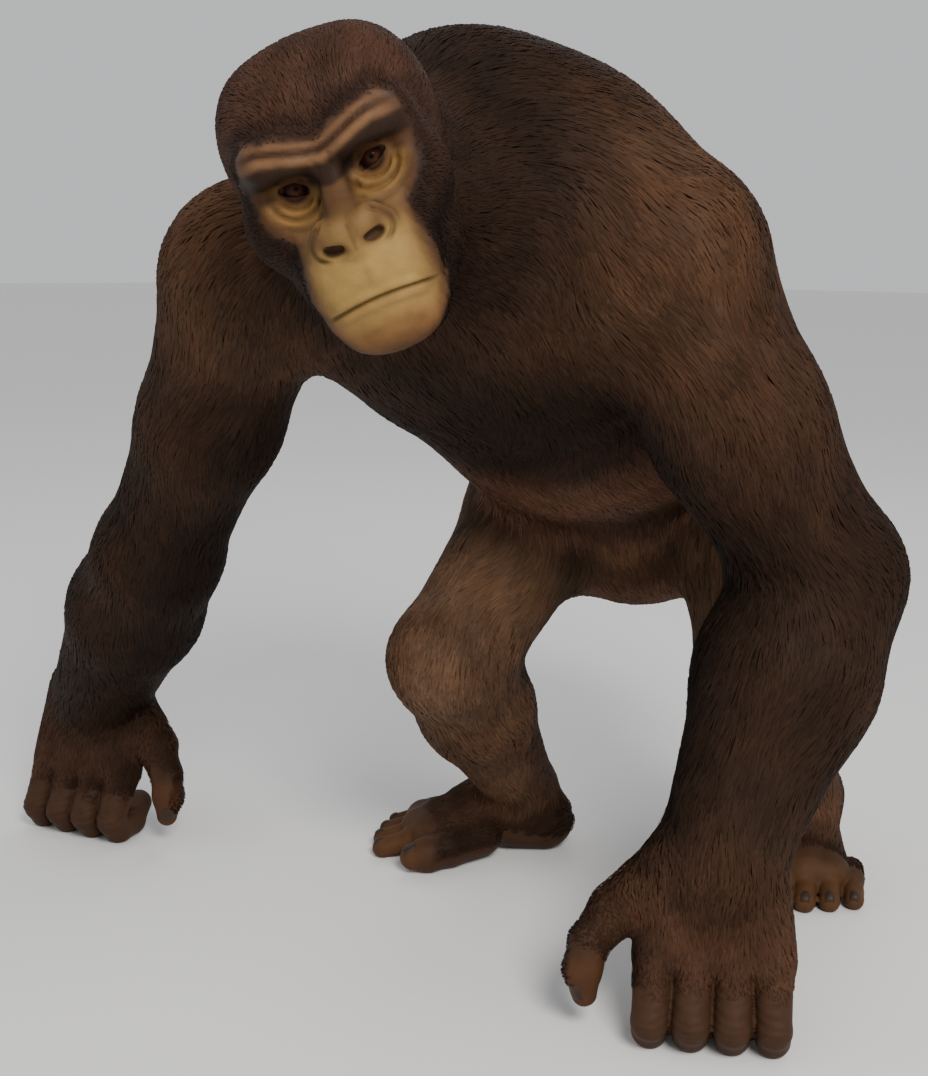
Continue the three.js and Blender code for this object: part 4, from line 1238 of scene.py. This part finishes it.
nail_points, nail_faces = [], []
NAIL_COLUMNS, NAIL_ROWS = 11, 9
for place, centre, up, along, wide, long in nail_beds:
    rise = place.way(*up)
    onward = np.array(along, float) @ place.axes
    onward = unit(onward - rise * (onward @ rise))
    sideways = np.cross(rise, onward)
    u, v = (g.ravel() for g in np.meshgrid(
        np.linspace(-1, 1, NAIL_COLUMNS), np.linspace(-1, 1, NAIL_ROWS), indexing="ij"))
    round_off = np.sqrt(np.clip(1 - np.maximum(-v, 0) ** 2 * 0.7, 0, 1))
    spread = sideways * (u * round_off * wide / 2)[:, None] + onward * (v * long / 2)[:, None]
    laid = dropped(place.out(centre) + spread * place.scale, -rise)
    edge = np.maximum(np.abs(u) ** 4, np.maximum(v, 0) ** 6)
    top = laid + rise * (NAIL_THICKNESS * (1 - edge) - 0.5 * edge)[:, None]
    under = laid - rise * 2.0
    start = sum(len(p) for p in nail_points)
    nail_points += [top, under]
    below = len(top)
    for i in range(NAIL_COLUMNS - 1):
        for j in range(NAIL_ROWS - 1):
            a, b = i * NAIL_ROWS + j, i * NAIL_ROWS + j + 1
            c, d = a + NAIL_ROWS, b + NAIL_ROWS
            nail_faces += [[start + n for n in f] for f in ((a, c, b), (b, c, d))]
            nail_faces += [[start + below + n for n in f] for f in ((a, b, c), (b, d, c))]
    rim = ([i * NAIL_ROWS for i in range(NAIL_COLUMNS)]
           + [(NAIL_COLUMNS - 1) * NAIL_ROWS + j for j in range(1, NAIL_ROWS)]
           + [i * NAIL_ROWS + NAIL_ROWS - 1 for i in range(NAIL_COLUMNS - 2, -1, -1)]
           + [j for j in range(NAIL_ROWS - 2, 0, -1)])
    for a, b in zip(rim, rim[1:] + rim[:1]):
        a, b = start + a, start + b
        nail_faces += [[a, a + below, b], [b, a + below, b + below]]
nail_mesh = mesh_of("nails", np.concatenate(nail_points), np.array(nail_faces))
piece_of("nails", nail_mesh, nail_finish.material)

# ---------------------------------------------------------------- coat
# Short smooth hair over all but the face, palms, fingers and soles: thin closed
# locks, each rooted in the skin, rising a little, then lying along the body and
# drawn into small clumps. Every part of the body has a coat piece of its own.
LOCKS = 234000
MOST_IN_PIECE = 33000
CLUMP_SIZE = 13.0
ROOT_DEPTH = 1.5
PATCH = 0.003
chance = np.random.default_rng(20)

# The locks are shared out over the skin's faces, closer on the head and low on the limbs.
corner = skin_points[skin_faces]
face_cross = np.cross(corner[:, 1] - corner[:, 0], corner[:, 2] - corner[:, 0])
face_size = np.linalg.norm(face_cross, axis=1) / 2
face_middle = corner.mean(1)
on_head = smooth(210, 130, np.linalg.norm(face_middle - head.out((0, 0, 20)), axis=1))
low_down = smooth(190, 130, face_middle[:, 2])
density = 1 + 1.8 * on_head + 0.7 * low_down
weight = face_size * density * skin_grown[skin_faces].mean(1)
order = np.lexsort((face_middle[:, 2] // 20, face_middle[:, 1] // 20, face_middle[:, 0] // 20))
reached = np.cumsum(weight[order])
picks = (np.arange(LOCKS) + chance.random(LOCKS)) / LOCKS * reached[-1]
host = order[np.minimum(np.searchsorted(reached, picks), len(order) - 1)]
slant, slide = np.sqrt(chance.random(LOCKS)), chance.random(LOCKS)
share = np.stack([1 - slant, slant * (1 - slide), slant * slide], 1)


def at_roots(values):
    """What the skin has at each of its points, taken where each lock is rooted."""
    return np.einsum("ij,ij...->i...", share, values[skin_faces[host]])


root = at_roots(skin_points)
rise = units(at_roots(skin_normals))
grown = at_roots(skin_grown)
thick = at_roots(skin_coat)
tone = at_roots(skin_tone)
flow = at_roots(skin_flow)
lock_piece = skin_piece[skin_faces[host, 0]]
on_head = on_head[host]


def along_skin(way, up):
    """A way laid flat on the skin."""
    return units(way - (way * up).sum(1)[:, None] * up)


flow = along_skin(flow, rise)
veer = 0.26 * waves(root, 170, 1) + 0.16 * waves(root, 55, 2) + chance.normal(size=LOCKS) * 0.07
flow = flow * np.cos(veer)[:, None] + np.cross(rise, flow) * np.sin(veer)[:, None]
length = (at_roots(skin_hair) * (1.4 - 0.3 * on_head) * (0.45 + 0.55 * grown)
          * chance.uniform(0.75, 1.2, LOCKS))
height = np.maximum(thick, 1.8) * (0.35 + 0.65 * grown) * chance.uniform(0.6, 0.95, LOCKS)
wide = (3.0 - 1.3 * on_head) * chance.uniform(0.7, 1.25, LOCKS) * (0.6 + 0.4 * grown)


def tree_of(points):
    tree = KDTree(len(points))
    for number, point in enumerate(points.tolist()):
        tree.insert(point, number)
    tree.balance()
    return tree


def nearest(tree, points):
    return np.array([tree.find(point)[1] for point in points.tolist()])


skin_tree = tree_of(skin_points)


def lifted(points, wanted):
    """Points moved straight out or in, to a wanted height above the skin."""
    near = nearest(skin_tree, points)
    up = skin_normals[near]
    now = ((points - skin_points[near]) * up).sum(1)
    return points + up * (wanted - now)[:, None], up


# Each lock is drawn a little toward the nearest of the leaders, which makes small clumps.
leader_count = int(face_size.sum() / CLUMP_SIZE ** 2)
leaders = chance.choice(LOCKS, leader_count, replace=False)
leader = nearest(tree_of(root[leaders]), root)
off = root[leaders][leader] - root
draw = off - (off * flow).sum(1)[:, None] * flow - (off * rise).sum(1)[:, None] * rise
draw *= (chance.uniform(0.02, 0.2, LOCKS) * (np.linalg.norm(off, axis=1) < CLUMP_SIZE * 1.5))[:, None]
clump_shade = chance.uniform(0.92, 1.08, leader_count)[leader]

middle, middle_up = lifted(root + flow * (length * 0.45)[:, None] + draw * 0.35, height * 0.9)
onward = along_skin(flow, middle_up) * (length * 0.55)[:, None]
tip, _ = lifted(middle + onward + draw * 0.65, height * 0.8)
sideways = units(np.cross(flow, middle_up))
lean = chance.normal(size=LOCKS) * 0.15
sideways, middle_up = (sideways * np.cos(lean)[:, None] + middle_up * np.sin(lean)[:, None],
                       middle_up * np.cos(lean)[:, None] - sideways * np.sin(lean)[:, None])

# A lock has five corners: its root, two edges and a ridge halfway along, and its tip.
# It is shaded as the skin below it, tilted a little to its sides, so the coat looks soft.
lock_points = np.stack([
    root - rise * ROOT_DEPTH,
    middle - sideways * (wide / 2)[:, None],
    middle + sideways * (wide / 2)[:, None],
    middle + middle_up * (wide * 0.16)[:, None],
    tip], 1)
over = np.stack([
    rise - flow * 0.2, middle_up - sideways * 0.4, middle_up + sideways * 0.4,
    middle_up, middle_up + flow * 0.2], 1)
below = np.stack([
    -rise - flow, -middle_up * 0.3 - sideways, -middle_up * 0.3 + sideways,
    -middle_up, flow - middle_up * 0.3], 1)
lock_points[:, :, 2] = np.maximum(lock_points[:, :, 2], 0.5)
LOCK_FACES = np.array([[0, 3, 1], [0, 2, 3], [4, 1, 3], [4, 3, 2], [0, 1, 2], [4, 2, 1]])
corner_normals = units(np.concatenate([
    over[:, LOCK_FACES[:4].ravel()], below[:, LOCK_FACES[4:].ravel()]], 1))
LOCK_PATCH = np.array([[0, -0.5], [-0.5, 0], [0.5, 0], [0, 0.1], [0, 0.5]]) * PATCH

broad_waves = 1 + 0.16 * waves(root, 120, 3) + 0.12 * waves(root, 38, 4)
shade = clump_shade * chance.uniform(0.84, 1.16, LOCKS) * broad_waves
warm = np.clip(0.5 + 0.5 * waves(root, 90, 5) + chance.normal(size=LOCKS) * 0.3, 0, 1)
hue = mixed(np.array([[0.97, 1.0, 1.02]]), np.array([[1.07, 0.99, 0.92]]), warm)
FROM_ROOT_TO_TIP = np.array([0.85, 0.98, 0.98, 1.0, 1.1])
lock_colour = (tone * hue * shade[:, None])[:, None, :] * FROM_ROOT_TO_TIP[:, None]

coat_finish = Finish("coat")
coat_place = coat_finish.node("ShaderNodeTexCoord", {}, {}, "Object")
coat_tint = coat_finish.node("ShaderNodeAttribute", {"attribute_name": "tint"}, {}, "Color")
strands = coat_finish.node("ShaderNodeTexNoise", {},
                           {"Vector": coat_place, "Scale": 900.0, "Detail": 2.0})
coat_finish.surface({
    "Base Color": coat_finish.blend("MULTIPLY", 0.35, coat_tint, strands),
    "Roughness": strands * 0.3 + 0.5,
    "Specular IOR Level": 0.08,
    "Normal": coat_finish.node("ShaderNodeBump", {}, {
        "Strength": 0.3, "Distance": 0.0004, "Height": strands}, "Normal"),
})


def box_unwrap(points, normals):
    """Each point's place on a map of six flat views of the skin, side by side."""
    low, high = points.min(0), points.max(0)
    spot = (points - low) / np.maximum(high - low, 1e-6)
    column = np.abs(normals).argmax(1)
    row = (normals[np.arange(len(points)), column] > 0).astype(int)
    first = np.where(column == 0, spot[:, 1], spot[:, 0])
    second = np.where(column == 2, spot[:, 1], spot[:, 2])
    place = np.stack([(column + 0.02 + 0.96 * first) / 3, (row + 0.02 + 0.96 * second) / 2], 1)
    least, most = place.min(0), place.max(0)
    return 0.004 + 0.992 * (place - least) / np.maximum(most - least, 1e-6)


for index, part in enumerate(PIECES):
    mine = np.flatnonzero(lock_piece == index)
    mine = chance.permutation(mine)[:MOST_IN_PIECE]
    if not len(mine):
        continue
    places = lock_points[mine].reshape(-1, 3)
    triangles = (LOCK_FACES[None] + 5 * np.arange(len(mine))[:, None, None]).reshape(-1, 3)
    coat_mesh = mesh_of(f"coat_{part}", places, triangles)
    tint_mesh(coat_mesh, lock_colour[mine].reshape(-1, 3))
    coat_mesh.normals_split_custom_set(corner_normals[mine].reshape(-1, 3).tolist())
    spread = box_unwrap(root[mine], rise[mine])[:, None, :] + LOCK_PATCH[None]
    map_mesh(coat_mesh, np.clip(spread, 0.0005, 0.9995).reshape(-1, 2))
    piece_of(f"coat_{part}", coat_mesh, coat_finish.material)
